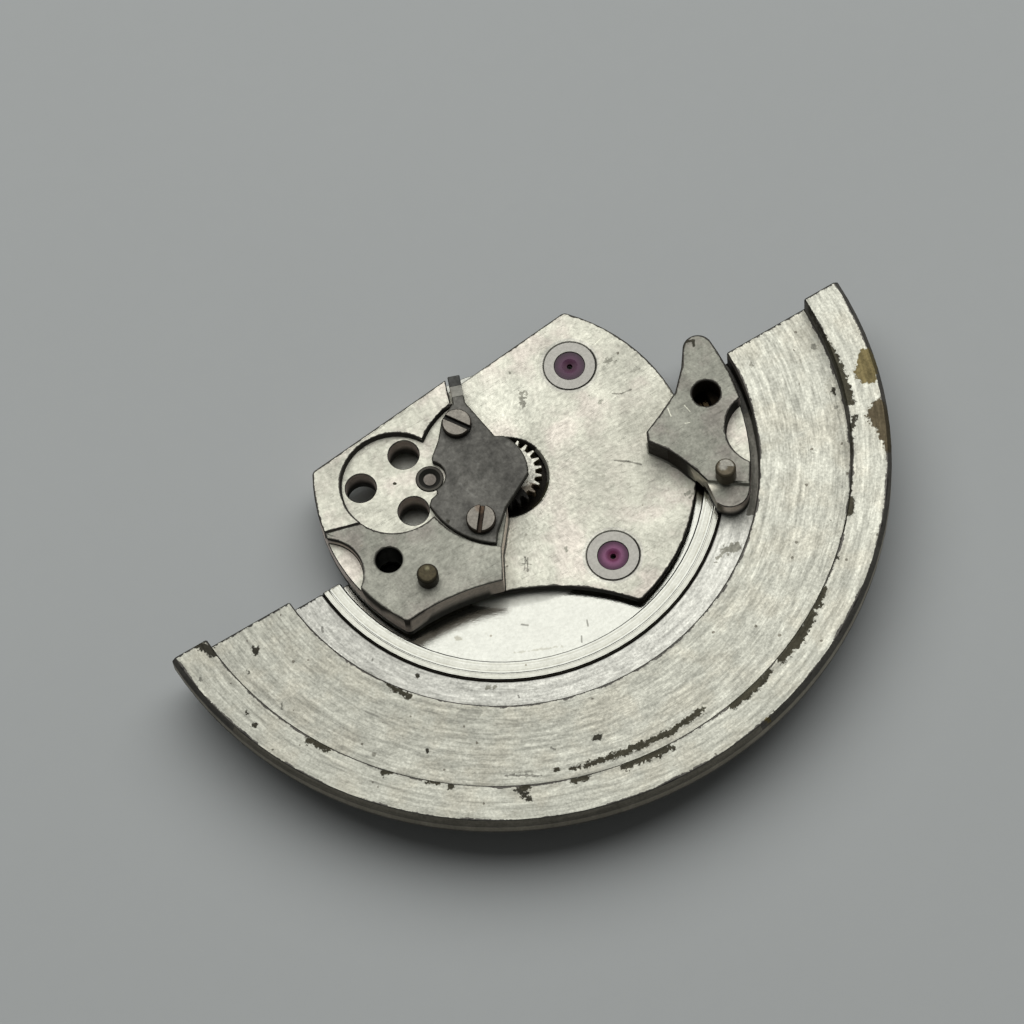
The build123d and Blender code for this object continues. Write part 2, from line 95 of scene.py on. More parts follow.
# worn dark edges, and painted shade along one side of each jewel setting
WORN_EDGE_AND_SHADE: Colour = (0.04, 0.038, 0.034)
BARE_BRASS: Colour = (0.112, 0.090, 0.040)
BROWN_BRASS: Colour = (0.066, 0.053, 0.031)
BRIGHT_LINE: Colour = (0.62, 0.61, 0.50)
SOFT_LINE: Colour = (0.115, 0.112, 0.10)
JEWEL_RING: Colour = (0.38, 0.37, 0.32)
# painted light on one arc of the weight's outer chamfer
RIM_CHAMFER_LIGHT: Colour = (0.15, 0.138, 0.112)
# painted shade, lighter than black, in the channel beside the bridge's arm
GAP_SHADE_GREY: Colour = (0.10, 0.094, 0.077)
# painted shade on walls below the height that a finish sets
LOW_WALL_SHADE: Colour = (0.02, 0.018, 0.014)
# painted shade on the arm's inner wall
ARM_WALL_SHADE: Colour = (0.03, 0.025, 0.02)
OLIVE_WALL: Colour = (0.66, 0.63, 0.52)
# painted shade on the lower wall of the arm's end
ARM_END_SHADE: Colour = (0.20, 0.175, 0.14)
# painted highlight on the retaining plate's finger ramp
RAMP_HIGHLIGHT: Colour = (0.34, 0.33, 0.29)
TIP_GREY: Colour = (0.05, 0.05, 0.046)
# painted highlight on the brass pin's dome
BRASS_HIGHLIGHT: Colour = (0.12, 0.108, 0.062)
PIN_SHADE: Colour = (0.075, 0.062, 0.04)


def rgba(colour: Colour) -> tuple[float, float, float, float]:
    """Gives a colour its opaque alpha."""
    return (*colour, 1.0)


class Body(Enum):
    """The two bodies of the assembly."""

    ROTOR = "rotor"
    BRIDGE = "bridge"


class Grain(Enum):
    """The finishes' noises: scale, detail and roughness."""

    FINE = (11.0, 4.0, 0.7)
    RELIEF = (24.0, 3.0, 0.6)
    PATCHES = (0.9, 3.0, 0.55)
    SCRATCHES = (17.0, 1.0, 0.5)
    TURNED = (1.0, 3.0, 0.7)
    WIDE_BORDER = (2.2, 5.0, 0.62)
    TORN_BORDER = (6.5, 6.0, 0.68)
    PIT_BORDER = (9.0, 2.0, 0.6)
    TABLE_WIDE = (0.05, 2.0, 0.5)
    TABLE_FINE = (1.3, 4.0, 0.6)


class Graph:
    """Adds nodes to one node tree and links them."""

    def __init__(self, tree: bpy.types.NodeTree) -> None:
        """Keeps the tree that the nodes go into."""
        self.tree = tree

    def feed(self, socket: Socket, value: Input) -> None:
        """Links a socket, or sets its own value.

        Args:
            socket: The input to feed.
            value: An output to link, or a plain value.
        """
        if isinstance(value, bpy.types.NodeSocket):
            self.tree.links.new(value, socket)
        else:
            socket.default_value = value

    def node(self, kind: str, inputs: dict | None = None, **settings: object) -> bpy.types.Node:
        """Adds a node.

        Args:
            kind: The node's type name.
            inputs: Values or outputs for its inputs, by name or place.
            settings: The node's own properties.

        Returns:
            The new node.
        """
        made = self.tree.nodes.new(kind)
        for name, value in settings.items():
            setattr(made, name, value)
        for name, value in (inputs or {}).items():
            self.feed(made.inputs[name], value)
        return made

    def math(self, operation: str, *values: Input) -> Socket:
        """Adds a Math node and returns its result."""
        made = self.node("ShaderNodeMath", dict(enumerate(values)), operation=operation)
        return made.outputs[0]

    def times(self, first: Input, second: Input, *plus: Input) -> Socket:
        """Returns first times second, plus a third value where it is given."""
        return self.math("MULTIPLY_ADD" if plus else "MULTIPLY", first, second, *plus)

    def vector(self, operation: str, *values: Input) -> Socket:
        """Adds a Vector Math node and returns its vector."""
        made = self.node("ShaderNodeVectorMath", dict(enumerate(values)), operation=operation)
        return made.outputs["Vector"]

    def scaled(self, vector: Input, scale: Input) -> Socket:
        """Returns a vector times a number."""
        made = self.node("ShaderNodeVectorMath", {0: vector, "Scale": scale}, operation="SCALE")
        return made.outputs["Vector"]

    def length(self, vector: Input) -> Socket:
        """Returns a vector's length."""
        return self.node("ShaderNodeVectorMath", {0: vector}, operation="LENGTH").outputs["Value"]

    def dot(self, first: Input, second: Input) -> Socket:
        """Returns the dot product of two vectors."""
        made = self.node("ShaderNodeVectorMath", {0: first, 1: second}, operation="DOT_PRODUCT")
        return made.outputs["Value"]

    def step(
        self, value: Input, low: Input, high: Input, start: float = 0.0, end: float = 1.0,
    ) -> Socket:
        """Maps a value smoothly, from start at low to end at high."""
        fed = {"Value": value, "From Min": low, "From Max": high, "To Min": start, "To Max": end}
        return self.node("ShaderNodeMapRange", fed, interpolation_type="SMOOTHSTEP").outputs[0]

    def within(self, value: Input, edge: Input, soft: Input) -> Socket:
        """Returns 1 below an edge, fading to 0 over a soft width beyond it."""
        return self.step(value, edge, self.math("ADD", edge, soft), 1.0, 0.0)

    def between(self, value: Input, span: Span) -> Socket:
        """Returns 1 where a value lies within a span, and 0 elsewhere."""
        above = self.math("GREATER_THAN", value, span[0])
        return self.times(above, self.math("LESS_THAN", value, span[1]))

    def noise(self, vector: Input, scale: Input, detail: float, roughness: float) -> Socket:
        """Adds a Noise Texture and returns its value, about 0.5 in the middle."""
        fed = {"Vector": vector, "Scale": scale, "Detail": detail, "Roughness": roughness}
        return self.node("ShaderNodeTexNoise", fed).outputs["Fac"]

    def grain(self, vector: Input, grain: Grain) -> Socket:
        """Returns one of the finishes' noises."""
        return self.noise(vector, *grain.value)

    def ripple(self, vector: Input, grain: Grain) -> Socket:
        """Returns one of the finishes' noises, about 0 in the middle."""
        return self.math("SUBTRACT", self.grain(vector, grain), 0.5)

    def swing(self, value: Socket, middle: float, amount: Socket) -> Socket:
        """Returns a tone about 1 that swings as a value leaves its middle."""
        swung = self.times(self.math("SUBTRACT", value, middle), self.times(amount, 2.0))
        return self.math("ADD", swung, 1.0)

    def mix(self, share: Input, first: Input, second: Input, blend: str = "MIX") -> Socket:
        """Mixes two colours.

        Args:
            share: How much of the second.
            first: The first colour.
            second: The second colour.
            blend: The way that they mix.

        Returns:
            The mixed colour.
        """
        made = self.node("ShaderNodeMix", data_type="RGBA", blend_type=blend)
        for name, value in (("Factor_Float", share), ("A_Color", first), ("B_Color", second)):
            self.feed(next(s for s in made.inputs if s.identifier == name), value)
        return next(s for s in made.outputs if s.identifier == "Result_Color")

    def toned(self, colour: Input, tone: Socket) -> Socket:
        """Returns a colour times a tone."""
        return self.mix(1.0, colour, self.join(tone, tone, tone), "MULTIPLY")

    def split(self, vector: Input) -> tuple[Socket, Socket, Socket]:
        """Returns a vector's three parts."""
        return tuple(self.node("ShaderNodeSeparateXYZ", {0: vector}).outputs)

    def join(self, *parts: Input) -> Socket:
        """Returns a vector of three parts."""
        return self.node("ShaderNodeCombineXYZ", dict(enumerate(parts))).outputs[0]

    def millimetres(self) -> Socket:
        """Returns the piece's Object coordinates in millimetres."""
        fed = {"Vector": self.node("ShaderNodeTexCoord").outputs["Object"], "Scale": (1 / MM,) * 3}
        return self.node("ShaderNodeMapping", fed).outputs["Vector"]

    def shade(self, fed: dict[str, Input]) -> None:
        """Ends a material with a Principled shader."""
        shader = self.node("ShaderNodeBsdfPrincipled", fed)
        self.node("ShaderNodeOutputMaterial", {"Surface": shader.outputs["BSDF"]})


def blank_material(name: str) -> tuple[bpy.types.Material, Graph]:
    """Makes a material that has no nodes yet.

    Args:
        name: Its name.

    Returns:
        The material and its graph.
    """
    material = bpy.data.materials.new(name)
    material.use_nodes = True
    material.node_tree.nodes.clear()
    return material, Graph(material.node_tree)


class Effect(Enum):
    """The shared surface effects."""

    CLOUD = "plating_cloud"
    TURNED = "turned_lines"
    HAIRLINES = "hairline_scratches"
    PITS = "plating_pits"
    RING_MARK = "ring_mark"
    STROKE_MARK = "stroke_mark"
    FLATS = "upward_flats"


class Effects:
    """Node groups of the shared effects, each built once and placed where a material needs it."""

    def __init__(self) -> None:
        """Builds every group."""
        self.trees: dict[Effect, bpy.types.NodeTree] = {}
        for build in (
            self._cloud, self._turned, self._hairlines, self._pits, self._ring_mark,
            self._stroke_mark, self._flats,
        ):
            build()

    def _begin(
        self, effect: Effect, inputs: dict[str, Input], *outputs: str,
    ) -> tuple[Graph, list[Socket], bpy.types.NodeInputs]:
        """Makes a group with its sockets.

        Args:
            effect: The effect to build.
            inputs: Its inputs' names and defaults.
            outputs: Its outputs' names.

        Returns:
            The graph, the values given to the group, and what it puts out.
        """
        tree = bpy.data.node_groups.new(effect.value, "ShaderNodeTree")
        for name, default in inputs.items():
            kind = "NodeSocketVector" if isinstance(default, tuple) else "NodeSocketFloat"
            made = tree.interface.new_socket(name, in_out="INPUT", socket_type=kind)
            made.default_value = default
        for name in outputs:
            tree.interface.new_socket(name, in_out="OUTPUT", socket_type="NodeSocketFloat")
        self.trees[effect] = tree
        graph = Graph(tree)
        given = list(graph.node("NodeGroupInput").outputs)[:len(inputs)]
        return graph, given, graph.node("NodeGroupOutput").inputs

    def _cloud(self) -> None:
        """Soft tone changes of a plated surface at two sizes."""
        inputs = {"Point": (0, 0, 0), "Scale": 2.0, "Amount": 0.1}
        graph, (point, scale, amount), out = self._begin(Effect.CLOUD, inputs, "Tone")
        wide = graph.noise(point, scale, 3.0, 0.6)
        fine = graph.noise(point, graph.times(scale, 7.0), 3.0, 0.65)
        both = graph.math("ADD", wide, graph.times(fine, 0.8))
        graph.feed(out["Tone"], graph.swing(both, 0.9, amount))

    def _turned(self) -> None:
        """Lathe lines round an upright axis through the origin."""
        inputs = {"Point": (0, 0, 0), "Pitch": 9.0, "Amount": 0.1}
        graph, (point, pitch, amount), out = self._begin(Effect.TURNED, inputs, "Tone", "Height")
        x, y, _ = graph.split(point)
        away = graph.join(x, y, 0.0)
        around = graph.vector("NORMALIZE", away)
        rise = graph.join(0.0, 0.0, graph.times(graph.length(away), pitch))
        lines, streaks = (
            graph.grain(graph.vector("ADD", graph.scaled(around, spread), rise), Grain.TURNED)
            for spread in (1.1, 14.0)
        )
        height = graph.times(streaks, 0.6, graph.times(lines, 0.4))
        graph.feed(out["Tone"], graph.swing(height, 0.5, amount))
        graph.feed(out["Height"], height)

    def _hairlines(self) -> None:
        """Fine straight scratches that cross one another."""
        inputs = {"Point": (0, 0, 0), "Share": 0.3}
        graph, (point, share), out = self._begin(Effect.HAIRLINES, inputs, "Mask", "Height")
        edge = graph.times(share, -0.16, 0.76)
        total: Socket | None = None
        for turn, stretch, shift in (
            (0.35, 0.09, 0.0), (1.25, 0.11, 3.1), (2.1, 0.08, 7.7), (2.8, 0.12, 5.3),
        ):
            fed = {
                "Vector": point, "Location": (shift, shift, 0.0), "Rotation": (0.0, 0.0, turn),
                "Scale": (stretch, 1.0, 0.0),
            }
            streaks = graph.node("ShaderNodeMapping", fed).outputs["Vector"]
            value = graph.grain(streaks, Grain.SCRATCHES)
            line = graph.step(value, edge, graph.math("ADD", edge, 0.09))
            total = line if total is None else graph.math("MAXIMUM", total, line)
        graph.feed(out["Mask"], total)
        graph.feed(out["Height"], graph.times(total, -1.0))

    def _pits(self) -> None:
        """Small dark pits scattered in the plating."""
        inputs = {"Point": (0, 0, 0), "Scale": 2.0, "Share": 0.2}
        graph, (point, scale, share), out = self._begin(Effect.PITS, inputs, "Mask")
        fed = {"Vector": point, "Scale": scale, "Randomness": 1.0}
        cells = graph.node("ShaderNodeTexVoronoi", fed).outputs
        here = graph.math("LESS_THAN", graph.dot(cells["Color"], RIGHT), share)
        reach = graph.times(graph.grain(point, Grain.PIT_BORDER), 0.2)
        graph.feed(out["Mask"], graph.times(graph.within(cells["Distance"], reach, 0.03), here))

    def _ring_mark(self) -> None:
        """A ragged ring, arc or disc about an upright axis, read at a level place."""
        inputs = {
            "Place": (0, 0, 0), "Centre": (0, 0, 0), "Middle": (1, 0, 0), "Radius": 1.0,
            "Half width": 0.1, "Reach": -1.0, "Soft": 0.03, "Ragged": 0.0,
        }
        graph, given, out = self._begin(Effect.RING_MARK, inputs, "Mask")
        place, centre, middle, radius, half_width, reach, soft, ragged = given
        away = graph.vector("SUBTRACT", place, centre)
        across = graph.math("ABSOLUTE", graph.math("SUBTRACT", graph.length(away), radius))
        inside = graph.within(graph.math("ADD", across, ragged), half_width, soft)
        turn = graph.dot(graph.vector("NORMALIZE", away), middle)
        facing = graph.math("GREATER_THAN", graph.times(ragged, -0.05, turn), reach)
        graph.feed(out["Mask"], graph.times(inside, facing))

    def _stroke_mark(self) -> None:
        """A ragged straight stroke, read at a level place."""
        inputs = {
            "Place": (0, 0, 0), "Centre": (0, 0, 0), "Along": (1, 0, 0), "Half length": 1.0,
            "Half width": 0.03, "Soft": 0.03, "Ragged": 0.0,
        }
        graph, given, out = self._begin(Effect.STROKE_MARK, inputs, "Mask")
        place, centre, along, half_length, half_width, soft, ragged = given
        away = graph.vector("SUBTRACT", place, centre)
        ahead = graph.math("MAXIMUM", graph.dot(away, along), graph.times(half_length, -1.0))
        held = graph.math("MINIMUM", ahead, half_length)
        beside = graph.vector("SUBTRACT", away, graph.scaled(along, held))
        across = graph.math("ADD", graph.length(beside), ragged)
        graph.feed(out["Mask"], graph.within(across, half_width, soft))

    def _flats(self) -> None:
        """Tells level faces and broken edges from walls."""
        graph, (normal,), out = self._begin(Effect.FLATS, {"Normal": (0, 0, 1)}, "Level", "Edge")
        upright = graph.math("ABSOLUTE", graph.split(normal)[2])
        level = graph.step(upright, 0.80, 0.96)
        sloped = graph.step(upright, 0.12, 0.30)
        graph.feed(out["Level"], level)
        graph.feed(out["Edge"], graph.times(sloped, graph.math("SUBTRACT", 1.0, level)))


class Ground:
    """What a finish is drawn on: one material's nodes, places and heights."""

    def __init__(self, graph: Graph, effects: Effects) -> None:
        """Measures the piece in millimetres.

        Args:
            graph: The material's graph.
            effects: The shared groups.
        """
        self.graph, self.effects = graph, effects
        self.point = graph.millimetres()
        self.place = graph.vector("MULTIPLY", self.point, LEVEL)
        self.height = graph.dot(self.point, UP)
        self.borders: dict[Effect, Socket] = {}
        self.layers: dict[Span, Socket] = {}

    def draw(self, effect: Effect, **values: Input) -> bpy.types.NodeOutputs:
        """Places a shared group in the material.

        Args:
            effect: The effect to place.
            values: Its inputs, with underscores for spaces.

        Returns:
            The group's outputs.
        """
        made = self.graph.node("ShaderNodeGroup", node_tree=self.effects.trees[effect])
        for name, value in values.items():
            self.graph.feed(made.inputs[name.replace("_", " ").capitalize()], value)
        return made.outputs

    def layer(self, heights: Span) -> Socket:
        """Gives the mask of what lies between two heights, built on its first use.

        Args:
            heights: The two heights.

        Returns:
            The mask.
        """
        if heights not in self.layers:
            self.layers[heights] = self.graph.between(self.height, heights)
        return self.layers[heights]


@dataclass(frozen=True)
class Mark:
    """A mark of dirt, wear, bare metal, painted light or painted shade, in millimetres."""

    effect: ClassVar[Effect]
    colour: Colour
    _: KW_ONLY
    soft: float = 0.03
    ragged: float = 0.0
    heights: Span = ALL_HEIGHTS
    strength: float = 1.0

    def mask(self, ground: Ground) -> Socket:
        """Draws the mark between its heights.

        Args:
            ground: What it is drawn on.

        Returns:
            The mark's mask.
        """
        graph, ragged = ground.graph, 0.0
        if self.ragged:
            ragged = graph.times(ground.borders[self.effect], self.ragged)
        mask = ground.draw(
            self.effect, place=ground.place, soft=self.soft, ragged=ragged, **self._form(),
        )["Mask"]
        if self.heights != ALL_HEIGHTS:
            mask = graph.times(mask, ground.layer(self.heights))
        return mask if self.strength == 1.0 else graph.times(mask, self.strength)

    def _form(self) -> dict[str, Input]:
        """Returns the inputs that give the mark its form."""
        raise NotImplementedError


@dataclass(frozen=True)
class RingMark(Mark):
    """A ring, an arc of one, or a disc where the radius is 0."""

    effect = Effect.RING_MARK
    radius: float
    half_width: float
    centre: Spot = (0.0, 0.0)
    arc: Arc = FULL_TURN

    def _form(self) -> dict[str, Input]:
        """Gives the ring's centre, size and reach.

        Returns:
            The effect's inputs.
        """
        turn, half = (math.radians(angle) for angle in self.arc)
        return {
            "centre": (*self.centre, 0.0), "middle": (math.cos(turn), math.sin(turn), 0.0),
            "radius": self.radius, "half_width": self.half_width,
            "reach": -2.0 if self.arc == FULL_TURN else math.cos(half),
        }


@dataclass(frozen=True)
class StrokeMark(Mark):
    """A straight scratch or line, or a spot where it ends at its start."""

    effect = Effect.STROKE_MARK
    start: Spot
    end: Spot
    half_width: float

    def _form(self) -> dict[str, Input]:
        """Gives the stroke's middle, direction and size.

        Returns:
            The effect's inputs.
        """
        start, end = Vector((*self.start, 0.0)), Vector((*self.end, 0.0))
        along = (end - start).normalized() if start != end else Vector(RIGHT)
        return {
            "centre": tuple((start + end) / 2), "along": tuple(along),
            "half_length": (end - start).length / 2, "half_width": self.half_width,
        }


FAINT_WIDTH, FAINT_STRENGTH = 0.03, 0.6  # thinner smears are faint scratches
SMEAR_SOFT_LEAST, SMEAR_SOFT_MOST, SMEAR_RAGGED = 0.018, 0.05, 1.6


def smears(table: Smears, heights: Span) -> list[Mark]:
    """Turns a table of smears into marks.

    Args:
        table: The smears by colour.
        heights: The heights that they lie between.

    Returns:
        The marks.
    """
    return [
        StrokeMark(
            colour, (x0, y0), (x1, y1), width, heights=heights, ragged=SMEAR_RAGGED * ragged,
            soft=min(SMEAR_SOFT_MOST, SMEAR_SOFT_LEAST + width / 2),
            strength=FAINT_STRENGTH if width < FAINT_WIDTH else 1.0,
        )
        for colour, rows in table for x0, y0, x1, y1, width, ragged in rows
    ]


LATHE_RELIEF = 1.4
SCRATCH_RELIEF = 0.6
EDGE_RELIEF = -1.2
EDGE_ROUGHNESS = 0.06
TONE_ROUGHNESS = -0.3  # darker spots are rougher
MATT_FADE = 0.15
OUTLINE_FADE = 0.02
EDGE_FADE = 0.04


@dataclass(frozen=True)
class Finish:
    """A surface of the object."""

    name: str

    def build(self, effects: Effects) -> bpy.types.Material:
        """Builds the finish's material.

        Args:
            effects: The shared groups.

        Returns:
            The material.
        """
        material, graph = blank_material(self.name)
        self._draw(Ground(graph, effects))
        return material

    def _draw(self, ground: Ground) -> None:
        """Adds the finish's nodes."""
        raise NotImplementedError


@dataclass(frozen=True)
class MetalFinish(Finish):
    """A metal surface: its tones, its grain, its edges, its painted wall light and shade, and the
    marks on it.
    """

    colour: Colour
    # painted light and shade of the walls, which take this colour in place of the level faces'
    # colour
    wall_light_and_shade: Colour
    edge_colour: Colour = (0.045, 0.042, 0.036)
    edge_wear: float = 1.0
    outline: float = 0.0
    outline_ragged: float = 0.10
    outline_chips: float = 0.12
    tint: Colour | None = None
    roughness: float = 0.68
    matt_core: float = 0.0
    matt_roughness: float = 0.45
    metallic: float = 0.75
    cloud: float = 0.08
    cloud_scale: float = 1.4
    grain: float = 0.10
    turned: float = 0.0
    turned_pitch: float = 9.0
    hairlines: float = 0.0
    hairline_depth: float = 0.10
    pits: float = 0.0
    pit_scale: float = 2.4
    # painted sheen: the tone grows brighter towards +X and darker opposite
    painted_sheen: float = 0.0
    bump: float = 0.25
    bump_reach: float = 0.00001
    polar_edges: bool = False
    wall_shade_top: float = -TOP
    marks: tuple[Mark, ...] = ()

    def _draw(self, ground: Ground) -> None:
        """Adds the metal's nodes.

        Args:
            ground: What it is drawn on.
        """
        graph = ground.graph
        border, torn = self._border(ground), graph.ripple(ground.point, Grain.TORN_BORDER)
        ground.borders = {Effect.RING_MARK: border, Effect.STROKE_MARK: torn}
        normal = graph.node("ShaderNodeTexCoord").outputs["Normal"]
        faces = ground.draw(Effect.FLATS, normal=normal)
        worn_from, worn_to = (0.5 - self.edge_wear + side * EDGE_FADE for side in (-1, 1))
        worn = graph.times(faces["Edge"], graph.step(border, worn_from, worn_to))
        colour = graph.mix(worn, self._plating(ground, faces["Level"]), rgba(self.edge_colour))
        if self.outline:
            line = graph.times(self._outline_share(ground), faces["Level"])
            colour = graph.mix(line, colour, rgba(self.edge_colour))
        for mark in self.marks:
            colour = graph.mix(mark.mask(ground), colour, rgba(mark.colour))
        tone, relief = self._tones(ground)
        rough = graph.times(graph.math("SUBTRACT", tone, 1.0), TONE_ROUGHNESS, self.roughness)
        rough = graph.times(worn, EDGE_ROUGHNESS, rough)
        if self.matt_core:
            inner, outer = self.matt_core - MATT_FADE, self.matt_core + MATT_FADE
            away, added = graph.length(ground.place), self.matt_roughness - self.roughness
            rough = graph.math("ADD", rough, graph.step(away, inner, outer, added, 0.0))
        bump = {
            "Strength": self.bump, "Distance": self.bump_reach,
            "Height": graph.times(worn, EDGE_RELIEF, relief),
        }
        graph.shade({
            "Base Color": graph.toned(colour, tone), "Roughness": rough, "Metallic": self.metallic,
            "Normal": graph.node("ShaderNodeBump", bump).outputs["Normal"],
        })

    def _tones(self, ground: Ground) -> tuple[Socket, Socket]:
        """Gives the surface's changes of tone, with any painted sheen, and its relief.

        Args:
            ground: What it is drawn on.

        Returns:
            The tone, about 1, and the relief.
        """
        graph, point = ground.graph, ground.point
        cloud = ground.draw(Effect.CLOUD, point=point, scale=self.cloud_scale, amount=self.cloud)
        fine = graph.times(graph.ripple(point, Grain.FINE), 2 * self.grain, 1.0)
        tone, relief = graph.times(cloud["Tone"], fine), graph.grain(point, Grain.RELIEF)
        if self.turned:
            lathe = ground.draw(
                Effect.TURNED, point=point, pitch=self.turned_pitch, amount=self.turned,
            )
            tone = graph.times(tone, lathe["Tone"])
            relief = graph.times(lathe["Height"], LATHE_RELIEF, relief)
        if self.hairlines:
            lines = ground.draw(Effect.HAIRLINES, point=point, share=self.hairlines)
            tone = graph.times(lines["Mask"], -self.hairline_depth, tone)
            relief = graph.times(lines["Height"], SCRATCH_RELIEF, relief)
        # painted sheen, brighter towards +X
        if self.painted_sheen:
            x, y, _ = graph.split(point)
            around = graph.vector("NORMALIZE", graph.join(x, y, 0.0))
            tone = graph.times(tone, graph.times(graph.dot(around, RIGHT), self.painted_sheen, 1.0))
        return tone, relief

    def _plating(self, ground: Ground, level: Socket) -> Socket:
        """Gives the colour of the level faces and the painted light and shade of the walls, with
        their pits.

        Args:
            ground: What it is drawn on.
            level: The mask of the level faces.

        Returns:
            The colour.
        """
        graph, colour = ground.graph, self._plain(ground)
        if self.tint:
            patch = graph.step(graph.grain(ground.point, Grain.PATCHES), 0.42, 0.66)
            tinted = graph.mix(1.0, colour, rgba(self.tint), "MULTIPLY")
            colour = graph.mix(patch, colour, tinted)
        # walls take painted light and shade, and below the set height painted black shade
        low = graph.math("LESS_THAN", ground.height, self.wall_shade_top)
        wall = graph.mix(low, rgba(self.wall_light_and_shade), rgba(LOW_WALL_SHADE))
        colour = graph.mix(level, wall, colour)
        if self.pits:
            pits = ground.draw(
                Effect.PITS, point=ground.point, scale=self.pit_scale, share=self.pits,
            )
            colour = graph.mix(pits["Mask"], colour, rgba(PIT_DIRT))
        return colour

    def _plain(self, ground: Ground) -> Input:
        """Returns the plain colour of the level faces."""
        return rgba(self.colour)

    def _border(self, ground: Ground) -> Socket:
        """Gives the noise that wears the borders of edges and rings, drawn out round the axis if
        the piece is turned.

        Args:
            ground: What it is drawn on.

        Returns:
            The noise, about 0.
        """
        graph, place = ground.graph, ground.point
        if self.polar_edges:
            x, y, z = graph.split(place)
            radius = graph.length(graph.join(x, y, 0.0))
            around = graph.times(graph.math("ARCTAN2", y, x), 6.5)
            place = graph.join(around, graph.times(radius, 1.3), z)
        return graph.ripple(place, Grain.WIDE_BORDER)

    def _outline_share(self, ground: Ground) -> Socket:
        """Gives the ragged worn line that runs along the edges of level faces.

        Args:
            ground: What it is drawn on.

        Returns:
            The line's mask.
        """
        graph = ground.graph
        near = graph.node("ShaderNodeAttribute", attribute_name="outline").outputs["Fac"]
        away = graph.times(near, -RIM, RIM)
        away = graph.times(ground.borders[Effect.STROKE_MARK], self.outline_ragged, away)
        away = graph.times(ground.borders[Effect.RING_MARK], self.outline_chips, away)
        line = graph.step(away, self.outline, self.outline + OUTLINE_FADE, 1.0, 0.0)
        return graph.times(line, graph.math("GREATER_THAN", near, 0.02))


@dataclass(frozen=True)
class BridgeFinish(MetalFinish):
    """The bridge's plating, with a greyer tone on its machined pads."""

    pad_colour: Colour = PAD_GREY
    pad_heights: Span = (1.75, 1.925)

    def _plain(self, ground: Ground) -> Input:
        """Returns the plain colour of the level faces, greyer on the pads."""
        pads = ground.graph.between(ground.height, self.pad_heights)
        return ground.graph.mix(pads, rgba(self.colour), rgba(self.pad_colour))


@dataclass(frozen=True)
class RubyFinish(Finish):
    """A polished synthetic ruby: dark rim, paler ring and a dark bore."""

    centre: Spot
    core: Colour
    ring: Colour
    rim: Colour
    radius: float = 0.51
    cup_radius: float = 0.27

    def _draw(self, ground: Ground) -> None:
        """Adds the ruby's nodes.

        Args:
            ground: What it is drawn on.
        """
        graph = ground.graph
        x, y, _ = graph.split(graph.vector("SUBTRACT", ground.point, (*self.centre, 0.0)))
        away = graph.length(graph.join(x, y, 0.0))
        cup = graph.step(away, 0.55 * self.cup_radius, self.cup_radius)
        edge = graph.step(away, self.cup_radius, 0.97 * self.radius)
        colour = graph.mix(edge, graph.mix(cup, rgba(self.core), rgba(self.ring)), rgba(self.rim))
        cloud = ground.draw(Effect.CLOUD, point=ground.point, scale=3.0, amount=0.30)
        graph.shade({
            "Base Color": graph.toned(colour, cloud["Tone"]), "IOR": 1.76,
            "Roughness": graph.step(away, self.cup_radius, self.radius, 0.42, 0.5),
            "Specular IOR Level": 0.12,
        })


